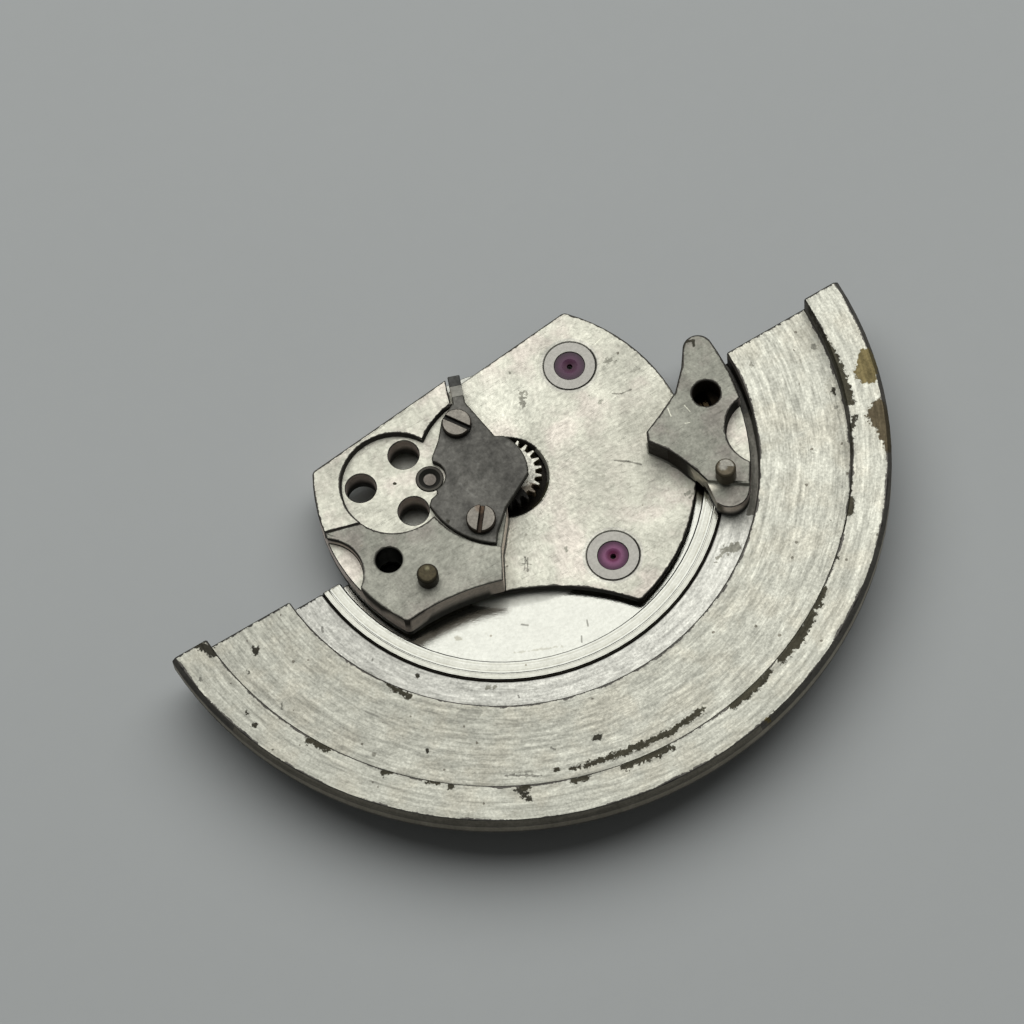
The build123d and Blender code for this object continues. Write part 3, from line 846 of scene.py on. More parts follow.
# Each smear: start x and y, end x and y, half width and raggedness, in millimetres.
OUTER_BAND_SMEARS: Smears = (
    (BROWN_DIRT, (
        (-10.56, -5.27, -10.16, -5.87, 0.101, 0.35), (-9.07, -7.56, -8.83, -7.63, 0.08, 0.35),
        (-7.97, -8.56, -7.68, -8.84, 0.058, 0.3), (-7.42, -9.12, -7.44, -9.2, 0.065, 0.25),
        (-5.31, -10.48, -5.45, -10.46, 0.109, 0.3), (-3.94, -11.11, -3.51, -11.21, 0.087, 0.3),
        (-2.26, -11.55, -0.7, -11.79, 0.123, 0.45), (11.41, -1.94, 11.36, -2.75, 0.116, 0.35),
        (11.34, -2.78, 11.03, -4.08, 0.167, 0.35), (11.03, -4.08, 10.92, -4.45, 0.127, 0.35),
        (8.99, -7.47, 8.74, -7.83, 0.13, 0.3), (6.54, -9.71, 6.06, -10.13, 0.094, 0.4),
        (5.77, -10.24, 5.28, -10.6, 0.138, 0.4), (5.1, -10.61, 4.71, -10.83, 0.225, 0.4),
        (4.39, -10.97, 4.07, -11.08, 0.152, 0.4), (3.46, -11.22, 3.14, -11.43, 0.087, 0.4),
        (3.04, -11.37, 2.4, -11.56, 0.138, 0.4), (2.3, -11.53, 1.85, -11.61, 0.123, 0.4),
    )),
    (DARK_DIRT, (
        (-11.94, -0.44, -11.7, -0.9, 0.13, 0.35), (-11.81, -3.87, -11.81, -3.87, 0.08, 0.3),
        (-11.8, -3.36, -11.8, -3.36, 0.043, 0.2), (-12.53, -1.48, -12.54, -1.57, 0.029, 0.2),
        (-5.61, -10.47, -5.47, -10.87, 0.072, 0.5), (11.58, -0.76, 11.42, -1.9, 0.08, 0.25),
        (10.72, -5.02, 10.44, -5.28, 0.08, 0.5), (10.27, -5.51, 9.94, -6.0, 0.058, 0.4),
        (9.56, -6.54, 9.2, -7.17, 0.058, 0.35), (8.34, -8.09, 8.17, -8.24, 0.072, 0.4),
        (7.55, -8.8, 7.52, -9.02, 0.036, 0.3), (6.98, -9.35, 7.22, -9.14, 0.025, 0.2),
    )),
    (BARE_BRASS, (
        (2.55, -12.6, 2.56, -12.63, 0.058, 0.3), (12.32, -3.26, 12.32, -3.26, 0.217, 0.35),
        (12.18, -3.58, 11.95, -3.83, 0.362, 0.35), (11.79, -3.95, 11.96, -4.06, 0.181, 0.3),
    )),
    (BROWN_BRASS, (
        (11.68, -5.06, 11.62, -5.15, 0.199, 0.35), (11.43, -5.34, 11.44, -5.56, 0.326, 0.4),
        (11.34, -5.85, 11.27, -6.15, 0.217, 0.35), (11.21, -6.33, 11.1, -6.52, 0.109, 0.3),
    )),
)
WIDE_BAND_SMEARS: Smears = (
    (BROWN_DIRT, (
        (-7.26, -4.75, -6.88, -5.41, 0.065, 0.5), (-3.18, -10.6, -2.31, -10.81, 0.08, 0.35),
        (-2.31, -10.81, -1.34, -10.97, 0.094, 0.35), (-1.34, -10.97, -0.25, -11.08, 0.087, 0.35),
        (-0.25, -11.08, 1.05, -10.98, 0.08, 0.35), (-4.1, -10.23, -4.04, -10.24, 0.058, 0.3),
        (-3.64, -10.47, -3.38, -10.54, 0.051, 0.3),
    )),
    (DARK_DIRT, (
        (-10.37, -1.24, -10.4, -1.34, 0.087, 0.3), (-10.57, -3.38, -10.7, -3.58, 0.018, 0.1),
        (-10.97, -1.8, -10.98, -1.85, 0.033, 0.2), (-5.62, -9.5, -4.62, -10.13, 0.018, 0.2),
        (-2.42, -9.98, -2.26, -10.03, 0.069, 0.3), (-3.84, -9.47, -3.76, -9.59, 0.022, 0.1),
        (-7.35, -7.39, -7.35, -7.43, 0.033, 0.2), (10.88, -3.45, 10.83, -3.59, 0.047, 0.3),
    )),
    (GREY_WEAR, (
        (-8.9, -6.57, -8.91, -6.59, 0.051, 0.2), (-5.69, -9.3, -4.77, -9.87, 0.014, 0.15),
        (11.2, -1.74, 11.18, -1.78, 0.058, 0.3), (10.57, -4.04, 10.58, -4.09, 0.043, 0.3),
        (9.06, -1.14, 9.03, -1.25, 0.036, 0.3),
    )),
    (FAINT_WEAR, ((-5.72, -6.89, -5.28, -7.13, 0.163, 0.5),)),
)
INNER_BAND_SMEARS: Smears = (
    (DARK_DIRT, (
        (-7.99, -1.41, -8.05, -1.58, 0.022, 0.1), (-7.15, -3.33, -7.16, -3.34, 0.029, 0.2),
        (-6.19, -4.61, -6.18, -4.63, 0.054, 0.25), (-3.69, -7.04, -3.7, -7.1, 0.018, 0.1),
    )),
    (GREY_WEAR, (
        (-4.39, -6.24, -4.15, -6.35, 0.036, 0.3), (4.92, -6.25, 5.26, -6.34, 0.145, 0.5),
        (4.44, -6.34, 4.59, -6.34, 0.054, 0.4),
    )),
)
WEB_SMEARS: Smears = (
    (DARK_DIRT, (
        (-2.23, -4.74, -2.06, -4.88, 0.016, 0.05), (-0.29, -5.77, -0.37, -5.97, 0.016, 0.05),
        (-0.74, -6.17, -0.85, -6.36, 0.016, 0.05),
    )),
    (GREY_WEAR, (
        (-4.28, -4.0, -4.23, -4.04, 0.058, 0.3), (-2.94, -5.51, -1.45, -6.14, 0.014, 0.2),
    )),
)
FLOOR_SMEARS: Smears = (
    (DARK_DIRT, (
        (4.68, 0.73, 4.92, 0.57, 0.014, 0.08), (4.92, 0.57, 5.29, 0.53, 0.014, 0.08),
        (3.46, -1.44, 3.81, -1.71, 0.018, 0.08), (3.81, -1.71, 4.12, -2.03, 0.018, 0.08),
        (-0.92, -2.87, -1.2, -3.25, 0.014, 0.12), (-0.88, -2.93, -1.14, -3.36, 0.014, 0.12),
        (-1.15, -3.01, -0.9, -3.19, 0.013, 0.1), (2.13, 3.31, 2.11, 3.25, 0.018, 0.1),
    )),
    (BRIGHT_LINE, ((5.12, 2.65, 5.55, 2.75, 0.002, 0.05),)),
    (GREY_WEAR, (
        (5.64, 1.1, 5.93, 1.05, 0.029, 0.15), (4.14, 0.66, 4.21, 0.7, 0.04, 0.3),
        (5.14, 1.87, 5.33, 1.77, 0.065, 0.5), (2.07, 2.37, 1.87, 1.97, 0.072, 0.6),
        (4.81, -3.81, 4.99, -3.78, 0.033, 0.35), (4.88, -3.96, 5.18, -3.88, 0.036, 0.35),
        (0.4, -3.31, 0.37, -3.36, 0.033, 0.2),
    )),
)
ARM_SMEARS: Smears = (
    (BRIGHT_LINE, (
        (5.76, -1.15, 5.7, -1.46, 0.004, 0.03), (6.29, -1.35, 6.33, -1.65, 0.004, 0.03),
        (5.96, -1.93, 6.1, -1.99, 0.004, 0.03),
    )),
    (GREY_WEAR, (
        (6.0, -1.31, 5.95, -1.43, 0.013, 0.03), (5.31, -1.88, 5.31, -1.9, 0.051, 0.3),
        (6.38, -2.6, 6.43, -2.61, 0.029, 0.2),
    )),
    (DARK_DIRT, (
        (7.56, 0.66, 7.81, 0.55, 0.036, 0.1), (7.81, 0.55, 7.73, 0.37, 0.036, 0.1),
        (7.56, 0.66, 7.41, 0.51, 0.029, 0.1),
    )),
)
PAD_SMEARS: Smears = (
    (GREY_WEAR, (
        (-6.03, 0.59, -5.78, 0.22, 0.014, 0.1), (-2.72, -2.36, -1.65, -2.53, 0.014, 0.1),
        (-5.99, -2.01, -5.64, -2.74, 0.014, 0.1),
    )),
)
RETAINER_SMEARS: Smears = (
    (DARK_DIRT, ((-2.63, -0.78, -2.65, -0.83, 0.036, 0.2),)),
    (SOFT_LINE, (
        (-1.62, 0.27, -1.42, -0.51, 0.014, 0.15), (-0.77, 0.91, -0.68, 0.41, 0.014, 0.15),
    )),
)
POCKET_SMEARS: Smears = (
    (DARK_DIRT, ((-3.43, 1.48, -3.43, 1.46, 0.033, 0.2),)),
)


@dataclass
class Workshop:
    """Dresses the CAD pieces and makes their copies with broken edges."""

    effects: Effects
    materials: dict[str, bpy.types.Material] = field(default_factory=dict)

    def material(self, finish: Finish) -> bpy.types.Material:
        """Gives a finish's material, built on its first use.

        Args:
            finish: The finish.

        Returns:
            Its material.
        """
        if finish.name not in self.materials:
            self.materials[finish.name] = finish.build(self.effects)
        return self.materials[finish.name]

    def dress(self, node: str, finish: Finish) -> None:
        """Puts a finish on a CAD node.

        Args:
            node: The node's name.
            finish: Its finish.
        """
        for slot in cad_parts[node].material_slots:
            slot.material = self.material(finish)
        LOG.info("%s: %s", node, finish.name)

    def break_edges(
        self, node: str, name: str, body: Body, finish: MetalFinish, width: float,
        rim_levels: tuple[float, ...],
    ) -> None:
        """Makes a copy of a CAD node with its square edges broken, which stands for the node.

        Args:
            node: The CAD node.
            name: The new piece's name.
            body: The body that it rides on.
            finish: Its finish.
            width: The width of the broken edge, in millimetres.
            rim_levels: The heights of the level faces whose outlines are worn.
        """
        self.dress(node, finish)
        shape = bmesh.new()
        shape.from_mesh(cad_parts[node].data)
        bmesh.ops.remove_doubles(shape, verts=shape.verts, dist=0.0002 * MM)
        bmesh.ops.dissolve_limit(
            shape, angle_limit=math.radians(0.6), verts=shape.verts, edges=shape.edges,
            delimit=set(),
        )
        square = [
            e for e in shape.edges if e.is_manifold and e.calc_face_angle(0.0) > math.radians(60.0)
        ]
        bmesh.ops.bevel(
            shape, geom=square, offset=width * MM, offset_type="OFFSET", segments=1, profile=0.5,
            affect="EDGES", clamp_overlap=False, material=-1,
        )
        if finish.outline:
            self._mark_rim(shape, rim_levels)
        self._order_faces(shape)
        mesh = bpy.data.meshes.new(name)
        shape.to_mesh(mesh)
        shape.free()
        mesh.materials.append(self.material(finish))
        piece = bpy.data.objects.new(name, mesh)
        bpy.context.scene.collection.objects.link(piece)
        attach(piece, body.value)
        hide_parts(node)
        LOG.info("%s: %s on %s", name, finish.name, body.value)

    @staticmethod
    def _mark_rim(shape: bmesh.types.BMesh, levels: tuple[float, ...]) -> None:
        """Cuts a ring along the edges of level faces, where the outline attribute falls to 0.

        Args:
            shape: The piece's mesh.
            levels: The faces' heights, in millimetres.
        """
        flats = [
            f for f in shape.faces if f.normal.z > 0.999
            and any(all(abs(v.co.z / MM - level) < 0.03 for v in f.verts) for level in levels)
        ]
        bmesh.ops.inset_region(
            shape, faces=flats, use_boundary=True, use_even_offset=False, use_interpolate=False,
            use_relative_offset=False, thickness=RIM * MM, depth=0.0, use_outset=False,
        )
        layer = shape.verts.layers.float.new("outline")
        within = {vert for face in flats for vert in face.verts}
        for face in flats:
            for beside in {near for edge in face.edges for near in edge.link_faces} - set(flats):
                for vert in beside.verts:
                    vert[layer] = 0.0 if vert in within else 1.0

    @staticmethod
    def _order_faces(shape: bmesh.types.BMesh) -> None:
        """Puts the faces in the order of their vertices, so that each run gives the same mesh.

        Args:
            shape: The piece's mesh.
        """
        shape.verts.index_update()
        faces = sorted(shape.faces, key=lambda face: sorted(vert.index for vert in face.verts))
        for place, face in enumerate(faces):
            face.index = place
        shape.faces.sort()


@dataclass
class Rotor:
    """The turning body: weight, web, hub, gear and axle, in millimetres."""

    outer_radius: float = 13.0
    wide_band_inner: float = 8.57
    chord: float = -0.37
    hole_shade_spot: Spot = (7.22, -1.12)
    rim_levels: tuple[float, ...] = (0.90, 1.71, 2.45)
    rim_edge: Span = (2.40, 2.6)
    rim_wall: Span = (2.2, 2.42)
    outer_band: Span = (2.0, 2.6)
    wide_band: Span = (1.4, 1.9)
    inner_band: Span = (0.8, 1.0)
    inner_band_face: Span = (0.85, 0.93)
    step_wall: Span = (0.93, 1.5)
    step_foot: Span = (0.6, 1.2)
    weight_hole_shade: Span = (0.6, 1.1)
    web_face: Span = (0.4, 0.6)
    web_up: Span = (0.4, TOP)
    bead_up: Span = (0.9, TOP)

    def weight_marks(self) -> tuple[Mark, ...]:
        """Draws the dirt, bare patches, chipped edges, painted shade and painted light of the
        weight.

        Returns:
            The marks.
        """
        left, right = (-18.0, self.chord), (18.0, self.chord)
        step, foot = self.wide_band_inner, self.wide_band_inner - 0.12
        return (
            RingMark(
                INNER_CREAM, 8.0, 0.56, soft=0.02, heights=self.inner_band_face, strength=0.9,
            ),
            RingMark(WORN_EDGE_AND_SHADE, self.outer_radius, 0.02, ragged=0.9, heights=self.rim_edge),
            StrokeMark(WORN_EDGE_AND_SHADE, left, right, 0.05, ragged=0.4),
            # painted shade on the weight's step wall and at its foot, in the channel under the
            # bridge's arm
            *(
                RingMark(colour, step, 0.08, arc=arc, soft=0.02, heights=self.step_wall)
                for colour, arc in ((SHADE_BLACK, (-2.0, 17.0)), (GAP_SHADE_GREY, (-32.0, 14.0)))
            ),
            *(
                RingMark(
                    colour, foot, 0.16, arc=arc, soft=0.10, ragged=0.25, heights=self.step_foot,
                    strength=0.9,
                )
                for colour, arc in ((SHADE_BLACK, (-2.0, 15.0)), (GAP_SHADE_GREY, (-29.0, 13.0)))
            ),
            # painted shade on the weight under the bridge's right hole
            RingMark(HOLE_SHADE, 0.0, 0.50, self.hole_shade_spot, soft=0.12, heights=self.weight_hole_shade),
            # painted light on the rim's outer chamfer, over the arc about -122 degrees
            RingMark(
                RIM_CHAMFER_LIGHT, self.outer_radius - 0.05, 0.12, arc=(-122.0, 42.0), ragged=0.1,
                heights=self.rim_wall,
            ),
            *smears(OUTER_BAND_SMEARS, self.outer_band),
            *smears(WIDE_BAND_SMEARS, self.wide_band),
            *smears(INNER_BAND_SMEARS, self.inner_band),
        )

    def web_marks(self) -> tuple[Mark, ...]:
        """Draws the painted shade of the web's middle, its worn lines and the painted shade under
        the right hole.

        Returns:
            The marks.
        """
        left, right = (-9.0, self.chord), (9.0, self.chord)
        lines = (
            (6.82, 0.015, 0.55), (6.95, 0.05, 0.35), (7.04, 0.004, 0.8), (7.20, 0.04, 0.45),
            (7.30, 0.006, 0.7),
        )
        return (
            StrokeMark(WORN_EDGE_AND_SHADE, left, right, 0.04, ragged=0.2),
            # painted shade on the middle of the web, under the gear
            RingMark(SHADE_BLACK, 0.0, 1.75, soft=0.3, heights=self.web_up),
            *(
                RingMark(
                    GREY_WEAR, radius, width, ragged=0.08, heights=self.bead_up, strength=strength,
                )
                for radius, width, strength in lines
            ),
            # painted shade on the web under the bridge's right hole
            RingMark(HOLE_SHADE, 0.0, 0.50, self.hole_shade_spot, soft=0.12, heights=self.web_up),
            *smears(WEB_SMEARS, self.web_face),
        )

    def build(self, shop: Workshop) -> None:
        """Gives each piece of the rotor its finish.

        Args:
            shop: The workshop that dresses them.
        """
        weight = MetalFinish(
            "turned_weight_plating", CREAM, (0.27, 0.245, 0.195), (0.085, 0.08, 0.07), 0.75,
            outline=0.012, outline_ragged=0.16, outline_chips=0.34, tint=WARMER, roughness=0.6,
            metallic=0.85, cloud=0.12, grain=0.40, turned=0.75, turned_pitch=7.0, pits=0.22,
            pit_scale=2.2, painted_sheen=0.10, bump=0.4, polar_edges=True, marks=self.weight_marks(),
        )
        web = MetalFinish(
            "turned_web_plating", (0.305, 0.305, 0.272), (0.08, 0.075, 0.06), roughness=0.06,
            matt_core=4.6, metallic=1.0, cloud=0.06, grain=0.25, turned=0.15, turned_pitch=7.0,
            pits=0.12, bump=0.3, marks=self.web_marks(),
        )
        # the hub's near-black colour is painted shade, for the shaded gear opening above it
        hub = MetalFinish("hub_painted_shade", (0.03, 0.028, 0.02), (0.02, 0.02, 0.015), turned=0.06)
        gear = MetalFinish(
            "gear_steel", (0.44, 0.43, 0.37), (0.05, 0.042, 0.022), (0.12, 0.10, 0.06), 0.6,
            roughness=0.55, cloud=0.3, cloud_scale=3.0, grain=0.8, bump=0.3, marks=(
                # painted shade where the retaining plate shades the gear's lower teeth
                RingMark(
                    TOOTH_SHADE_BROWN, 1.2, 0.3, arc=(-66.0, 12.0), soft=0.10, ragged=1.2, strength=0.8,
                ),
                RingMark(SHADE_BLACK, 1.25, 0.45, arc=(-115.0, 38.0), soft=0.12, ragged=1.6),
            ),
        )
        steel = MetalFinish(
            "axle_steel", (0.50, 0.49, 0.45), (0.3, 0.29, 0.26), roughness=0.55, turned=0.05,
        )
        for node, name, slot, finish, width, levels in (
            ("rotor_weight", "weight_half_disc", "weight_nickel", weight, 0.035, self.rim_levels),
            ("rotor_web", "web_half_disc", "plate_nickel", web, 0.022, ()),
            ("rotor_gear", "hub_gear", "bright_steel", gear, 0.018, ()),
        ):
            shop.break_edges(node, name, Body.ROTOR, finish, width, levels)
        for node, finish in (
            ("rotor_hub", hub), ("rotor_axle", steel), ("thrust_washer", steel),
            ("axle_clip", steel),
        ):
            shop.dress(node, finish)


@dataclass
class Bridge:
    """The standing body: bridge plate, retaining plate, jewels, pins, screws and stud."""

    upper_jewel: Spot = (3.982, 2.421)
    lower_jewel: Spot = (1.594, -4.379)
    left_hole: Spot = (-5.010, -0.910)
    right_hole: Spot = (7.149, -1.364)
    upper_screw: Spot = (-0.587, 2.089)
    lower_screw: Spot = (-1.682, -1.372)
    finger_ramp: Spot = (0.114, 3.373)
    finger_tip: Spot = (0.330, 3.950)
    arm_foot: Spot = (5.95, -4.95)
    rust_spot: Spot = (-1.55, -1.05)
    # centre of the painted highlight on the brass pin
    brass_pin_highlight: Spot = (-4.16, -2.09)
    steel_pin_shade: Spot = (6.06, -4.22)
    rim_levels: tuple[float, ...] = (0.90, 1.90, 1.95)
    retainer_levels: tuple[float, ...] = (1.97,)
    floor: Span = (0.8, 1.0)
    floor_face: Span = (0.88, 0.95)
    jewel_face: Span = (0.86, 0.95)
    arm: Span = (1.7, 1.93)
    arm_step: Span = (1.70, 1.925)
    arm_wall: Span = (0.93, 1.86)
    olive_wall: Span = (0.93, 1.84)
    brown_wall: Span = (0.93, 1.76)
    arm_foot_wall: Span = (0.95, 1.20)
    pad_face: Span = (1.85, 1.93)
    pocket: Span = (1.66, 1.78)
    left_hole_wall: Span = (0.60, 1.87)
    right_hole_wall: Span = (0.95, 1.87)
    gear_hole_edge: Span = (0.76, 0.905)
    gear_hole_wall: Span = (0.60, 0.905)
    retainer_face: Span = (1.9, 2.0)
    ramp: Span = (1.24, 1.95)
    tip: Span = (1.0, 1.22)
    slot_floor: Span = (2.09, 2.18)
    under_heads: Span = (0.0, 2.03)
    brass_pin_dome: Span = (2.3, TOP)
    steel_pin_dome: Span = (2.4, TOP)

    def plate_marks(self) -> tuple[Mark, ...]:
        """Draws the tones, scratches, dirt, painted light and painted shade of the bridge plate.

        Returns:
            The marks.
        """
        jewels = self.upper_jewel, self.lower_jewel
        strokes = (
            (DULL_CREAM, (2.6, -1.7), (4.8, -0.9), 0.5, 1.9, self.floor_face, 0.75),
            (BRIGHT_CREAM, (0.6, 3.0), (2.0, 2.2), 0.1, 1.5, self.floor_face, 0.8),
            (BRIGHT_CREAM, (-0.8, -3.2), (-0.2, -1.6), 0.1, 1.2, self.floor_face, 0.4),
            # painted light on the left pad
            (PAD_PAINTED_LIGHT, (-5.2, -1.6), (-2.4, -2.4), 0.3, 1.2, self.pad_face, 0.8),
            # painted shade on the arm's inner wall
            (ARM_WALL_SHADE, (4.45, -1.75), (5.00, -2.70), 0.10, 0.6, self.arm_wall, 1.0),
            (OLIVE_WALL, (5.38, -3.75), (5.44, -4.10), 0.10, 0.5, self.olive_wall, 0.85),
            # painted shade on the lower wall of the arm's end
            (ARM_END_SHADE, (5.45, -4.35), (5.45, -4.90), 0.18, 0.12, self.brown_wall, 1.0),
            (PAD_GREY, (5.55, -4.18), (6.60, -4.97), 0.06, 0.06, self.arm_step, 0.75),
        )
        edges = (
            # painted highlight on the lit side of the gear opening's chamfer
            (BRIGHT_LINE, 1.45, (-25.0, 40.0), self.gear_hole_edge, 0.6),
            (OLIVE_DIRT, 1.41, (-60.0, 22.0), self.gear_hole_wall, 0.9),
        )
        return (
            *(
                StrokeMark(colour, start, end, width, soft=soft, heights=heights, strength=strength)
                for colour, start, end, width, soft, heights, strength in strokes
            ),
            *(
                RingMark(JEWEL_RING, 0.95, 0.07, jewel, soft=0.02, heights=self.jewel_face)
                for jewel in jewels
            ),
            # painted shade: a dark line along the lower side of each jewel setting
            *(
                RingMark(
                    WORN_EDGE_AND_SHADE, 0.915, 0.012, jewel, (-70.0, 80.0), ragged=0.08,
                    heights=self.jewel_face, strength=0.8,
                )
                for jewel in jewels
            ),
            # painted shadow on the wall under the arm's end
            RingMark(
                SHADE_BLACK, 0.0, 1.1, self.arm_foot, soft=0.1, heights=self.arm_foot_wall, strength=0.95,
            ),
            # painted shade inside the bridge's left and right holes
            RingMark(SHADE_BLACK, 0.46, 0.05, self.left_hole, heights=self.left_hole_wall),
            RingMark(HOLE_SHADE_BROWN, 0.48, 0.05, self.right_hole, heights=self.right_hole_wall),
            *(
                RingMark(colour, radius, 0.05, arc=arc, heights=heights, strength=strength)
                for colour, radius, arc, heights, strength in edges
            ),
            StrokeMark(
                PAD_GREY, (-1.04, -1.61), (-1.51, -2.27), 0.22, soft=0.05, ragged=0.1,
                heights=self.pocket,
            ),
            *smears(FLOOR_SMEARS, self.floor), *smears(ARM_SMEARS, self.arm),
            *smears(PAD_SMEARS, self.pad_face), *smears(POCKET_SMEARS, self.pocket),
        )

    def screw_marks(self) -> tuple[Mark, ...]:
        """Draws the painted shade in the screws' slots and under their heads, and the rust by the
        lower one.

        Returns:
            The marks.
        """
        return (
            # painted shade in the slots and under the heads
            RingMark(SHADE_BLACK, 0.0, 0.8, self.upper_screw, heights=self.slot_floor),
            RingMark(SLOT_SHADE, 0.0, 0.8, self.lower_screw, heights=self.slot_floor),
            RingMark(RUST, 0.0, 0.10, self.rust_spot, soft=0.12, ragged=0.2, strength=0.5),
            RingMark(SHADE_BLACK, 0.0, 0.8, self.upper_screw, heights=self.under_heads),
            RingMark(SHADE_BLACK, 0.0, 0.8, self.lower_screw, heights=self.under_heads),
        )

    def build(self, shop: Workshop) -> None:
        """Gives each piece of the bridge its finish.

        Args:
            shop: The workshop that dresses them.
        """
        # the plate's walls carry bright painted light, and painted shade below 0.93 mm
        plate = BridgeFinish(
            "bridge_plating", (0.415, 0.408, 0.343), (0.72, 0.63, 0.565), outline=0.02,
            outline_ragged=0.12, outline_chips=0.10, tint=PINKISH, roughness=0.54, metallic=0.9,
            cloud=0.36, cloud_scale=0.8, grain=0.30, hairlines=0.6, pits=0.15, pit_scale=1.8,
            bump=0.4, wall_shade_top=0.93, marks=self.plate_marks(),
        )
        dark = MetalFinish(
            "retainer_steel", (0.086, 0.083, 0.073), (0.02, 0.018, 0.015), (0.05, 0.048, 0.04), 0.6,
            outline=0.015, outline_ragged=0.06, outline_chips=0.05, roughness=0.6, cloud=0.55,
            cloud_scale=0.7, grain=0.3, hairlines=0.4, hairline_depth=0.05, bump=0.3, marks=(
                *smears(RETAINER_SMEARS, self.retainer_face),
                # painted highlight on the finger's ramp, which faces the light
                RingMark(RAMP_HIGHLIGHT, 0.0, 0.46, self.finger_ramp, heights=self.ramp),
                RingMark(TIP_GREY, 0.0, 0.36, self.finger_tip, heights=self.tip),
            ),
        )
        screw = MetalFinish(
            "screw_steel", (0.155, 0.142, 0.12), (0.02, 0.016, 0.011), (0.055, 0.045, 0.035),
            roughness=0.5, cloud=0.25, cloud_scale=2.0, grain=0.4, hairlines=0.5,
            marks=self.screw_marks(),
        )
        setting = MetalFinish(
            "setting_plating", (0.295, 0.285, 0.255), (0.12, 0.10, 0.08), edge_wear=0.75,
            roughness=0.55, grain=0.2, bump=0.2,
        )
        brass = MetalFinish(
            "pin_brass", (0.036, 0.029, 0.014), (0.025, 0.021, 0.011), (0.035, 0.03, 0.018),
            roughness=0.5, cloud=0.3, cloud_scale=4.0, grain=0.5, bump=0.3, marks=(
                # painted highlight on the pin's dome
                RingMark(
                    BRASS_HIGHLIGHT, 0.0, 0.03, self.brass_pin_highlight, soft=0.09, ragged=0.1,
                    heights=self.brass_pin_dome,
                ),
            ),
        )
        steel = MetalFinish(
            "pin_steel", (0.205, 0.195, 0.165), (0.08, 0.068, 0.045), (0.08, 0.065, 0.04),
            roughness=0.5, cloud=0.3, cloud_scale=2.0, grain=0.4, bump=0.3, marks=(
                RingMark(
                    PIN_SHADE, 0.32, 0.12, self.steel_pin_shade, (-150.0, 115.0), soft=0.12,
                    ragged=0.25, heights=self.steel_pin_dome,
                ),
            ),
        )
        bush = MetalFinish(
            "bush_bronze", (0.42, 0.30, 0.14), (0.3, 0.2, 0.1), roughness=0.5, cloud=0.1,
        )
        collar = MetalFinish(
            "collar_steel", (0.065, 0.06, 0.05), (0.03, 0.03, 0.025), (0.03, 0.028, 0.024),
        )
        stud = MetalFinish(
            "stud_steel", (0.17, 0.15, 0.13), (0.06, 0.055, 0.045), cloud=0.2, cloud_scale=3.0,
            grain=0.4,
        )
        upper_ruby = RubyFinish(
            "upper_ruby", self.upper_jewel, core=(0.055, 0.015, 0.035), ring=(0.085, 0.032, 0.065),
            rim=(0.055, 0.03, 0.045),
        )
        lower_ruby = RubyFinish(
            "lower_ruby", self.lower_jewel, core=(0.10, 0.008, 0.045), ring=(0.20, 0.065, 0.14),
            rim=(0.07, 0.02, 0.05),
        )
        for node, name, slot, finish, width, levels in (
            ("bridge_plate", "milled_bridge", "plate_nickel", plate, 0.03, self.rim_levels),
            ("retaining_plate", "retainer", "dark_steel", dark, 0.03, self.retainer_levels),
            ("retaining_screws", "slotted_screws", "screw_steel", screw, 0.02, ()),
        ):
            shop.break_edges(node, name, Body.BRIDGE, finish, width, levels)
        for node, finish in (
            ("upper_jewel_setting", setting), ("lower_jewel_setting", setting),
            ("left_locating_pin", brass), ("right_locating_pin", steel), ("axle_bush", bush),
            ("stud_collar", collar), ("stud_pin", stud), ("upper_jewel", upper_ruby),
            ("lower_jewel", lower_ruby),
        ):
            shop.dress(node, finish)


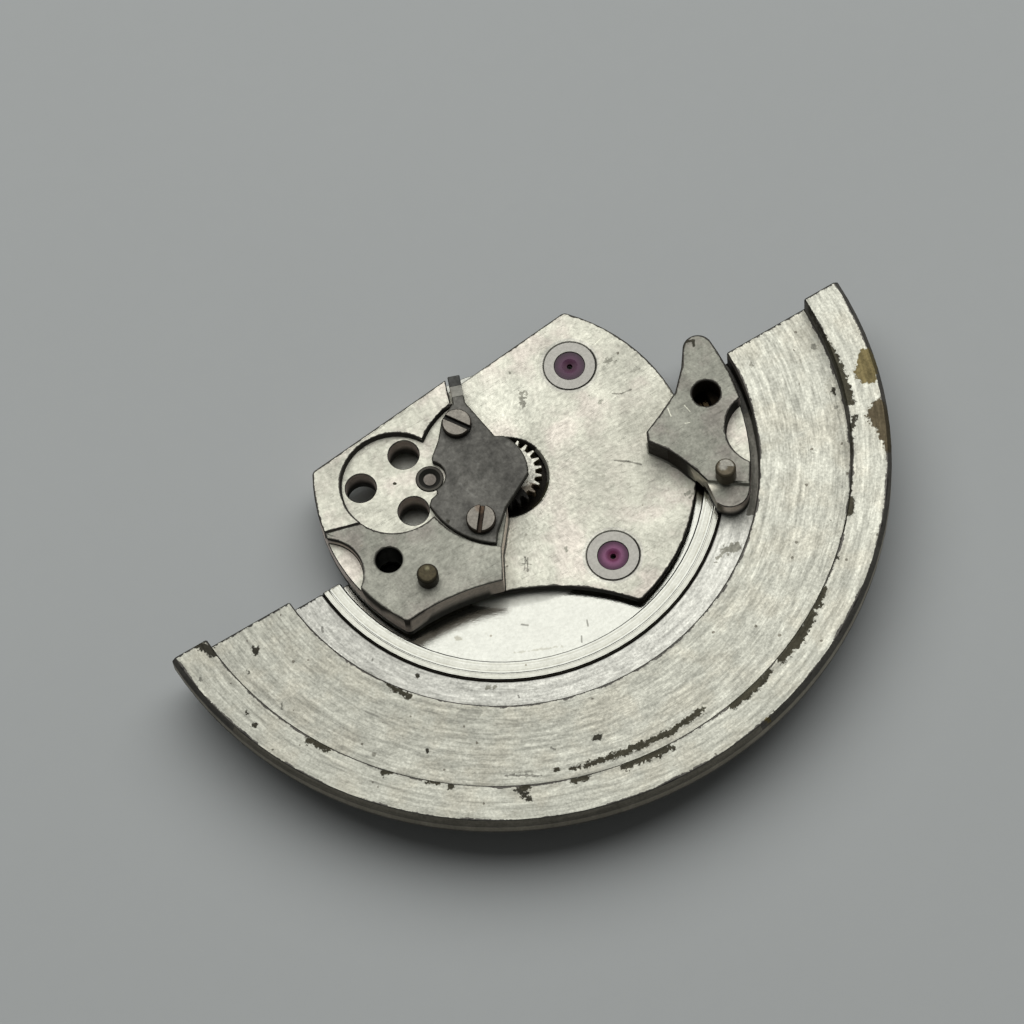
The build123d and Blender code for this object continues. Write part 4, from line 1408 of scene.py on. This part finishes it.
@dataclass
class Studio:
    """Pale table, soft key light from behind the object, even surroundings and the camera."""

    table_size: float = 0.9
    table_drop: float = 0.000002
    table_colour: Colour = (0.378, 0.394, 0.388)
    world_level: float = 0.10
    key_aim: Point = (0.0, -0.003, 0.0)
    key_azimuth: float = 62.0
    key_elevation: float = 59.0
    key_distance: float = 0.35
    key_width: float = 0.70
    key_height: float = 0.404
    key_power: float = 1.72
    camera_distance: float = 166.677
    camera_elevation: float = 66.15
    camera_turn: float = 22.98
    camera_roll: float = -8.54
    camera_clip: tuple[float, float] = (0.005, 5.0)
    camera_lens: float = 175.78
    camera_sensor: float = 36.0
    axis_place: Spot = (-0.0438, 1.9782)
    aim_height: float = 2.45

    def build(self) -> None:
        """Builds the table, the lights, the surroundings and the camera."""
        self._table()
        self._key()
        self._surroundings()
        self._camera()

    def _table(self) -> None:
        """Builds the pale table that the object lies on."""
        shape = bmesh.new()
        bmesh.ops.create_grid(shape, x_segments=1, y_segments=1, size=self.table_size / 2)
        bmesh.ops.translate(shape, verts=shape.verts, vec=(0.0, 0.0, -self.table_drop))
        mesh = bpy.data.meshes.new("table")
        shape.to_mesh(mesh)
        shape.free()
        table = bpy.data.objects.new("table", mesh)
        bpy.context.scene.collection.objects.link(table)
        material, graph = blank_material("table_paint")
        point = graph.millimetres()
        tone = graph.times(graph.ripple(point, Grain.TABLE_WIDE), 0.05, 1.0)
        tone = graph.times(graph.ripple(point, Grain.TABLE_FINE), 0.025, tone)
        graph.shade({
            "Base Color": graph.toned(rgba(self.table_colour), tone), "Roughness": 0.75,
            "Specular IOR Level": 0.15,
        })
        mesh.materials.append(material)
        LOG.info("table: %s", material.name)

    def _key(self) -> None:
        """Builds the soft lamp."""
        azimuth, elevation = math.radians(self.key_azimuth), math.radians(self.key_elevation)
        level = math.cos(elevation)
        away = Vector((math.cos(azimuth) * level, math.sin(azimuth) * level, math.sin(elevation)))
        lamp = bpy.data.lights.new("key_lamp", "AREA")
        lamp.shape, lamp.energy = "ELLIPSE", self.key_power
        lamp.size, lamp.size_y = self.key_width, self.key_height
        holder = bpy.data.objects.new("key_lamp", lamp)
        holder.location = Vector(self.key_aim) + away * self.key_distance
        holder.rotation_mode = "QUATERNION"
        holder.rotation_quaternion = away.to_track_quat("Z", "Y")
        bpy.context.scene.collection.objects.link(holder)

    def _surroundings(self) -> None:
        """Builds the even white surroundings, which show the table's colour where they are seen."""
        world = bpy.data.worlds.new("studio")
        world.use_nodes = True
        world.node_tree.nodes.clear()
        graph = Graph(world.node_tree)
        rays = graph.node("ShaderNodeLightPath").outputs
        mirrored = graph.math("MAXIMUM", rays["Is Glossy Ray"], rays["Is Transmission Ray"])
        seen = graph.math("MAXIMUM", rays["Is Camera Ray"], mirrored)
        room, backdrop = (
            graph.node("ShaderNodeBackground", {"Color": rgba(colour), "Strength": strength})
            for colour, strength in (((1.0, 1.0, 1.0), self.world_level), (self.table_colour, 1.0))
        )
        fed = {0: seen, 1: room.outputs[0], 2: backdrop.outputs[0]}
        mixed = graph.node("ShaderNodeMixShader", fed)
        graph.node("ShaderNodeOutputWorld", {"Surface": mixed.outputs[0]})
        bpy.context.scene.world = world

    def _camera(self) -> None:
        """Builds the camera at the photograph's angle."""
        elevation, roll = math.radians(self.camera_elevation), math.radians(self.camera_roll)
        ahead = Vector((0.0, math.cos(elevation), -math.sin(elevation)))
        right = Vector(RIGHT)
        up = right.cross(ahead)
        turned_right = right * math.cos(roll) + up * math.sin(roll)
        turned_up = up * math.cos(roll) - right * math.sin(roll)
        axes = Matrix((turned_right, turned_up, -ahead)).transposed().to_4x4()
        x, y = self.axis_place
        place = Vector((-x, -y, self.aim_height)) - ahead * self.camera_distance
        turn = Matrix.Rotation(-math.radians(self.camera_turn), 4, "Z")
        data = bpy.data.cameras.new("photo_camera")
        data.sensor_width, data.lens = self.camera_sensor, self.camera_lens
        data.clip_start, data.clip_end = self.camera_clip
        camera = bpy.data.objects.new("photo_camera", data)
        camera.matrix_world = turn @ Matrix.Translation(place * MM) @ axes
        bpy.context.scene.collection.objects.link(camera)
        bpy.context.scene.camera = camera


def main() -> None:
    """Builds the finishes, the pieces, the studio and the camera."""
    logging.basicConfig(level=logging.INFO, format="%(name)s %(message)s")
    bpy.context.scene.view_settings.view_transform = "Standard"
    shop = Workshop(Effects())
    Rotor().build(shop)
    Bridge().build(shop)
    Studio().build()


if __name__ == "__main__":
    main()
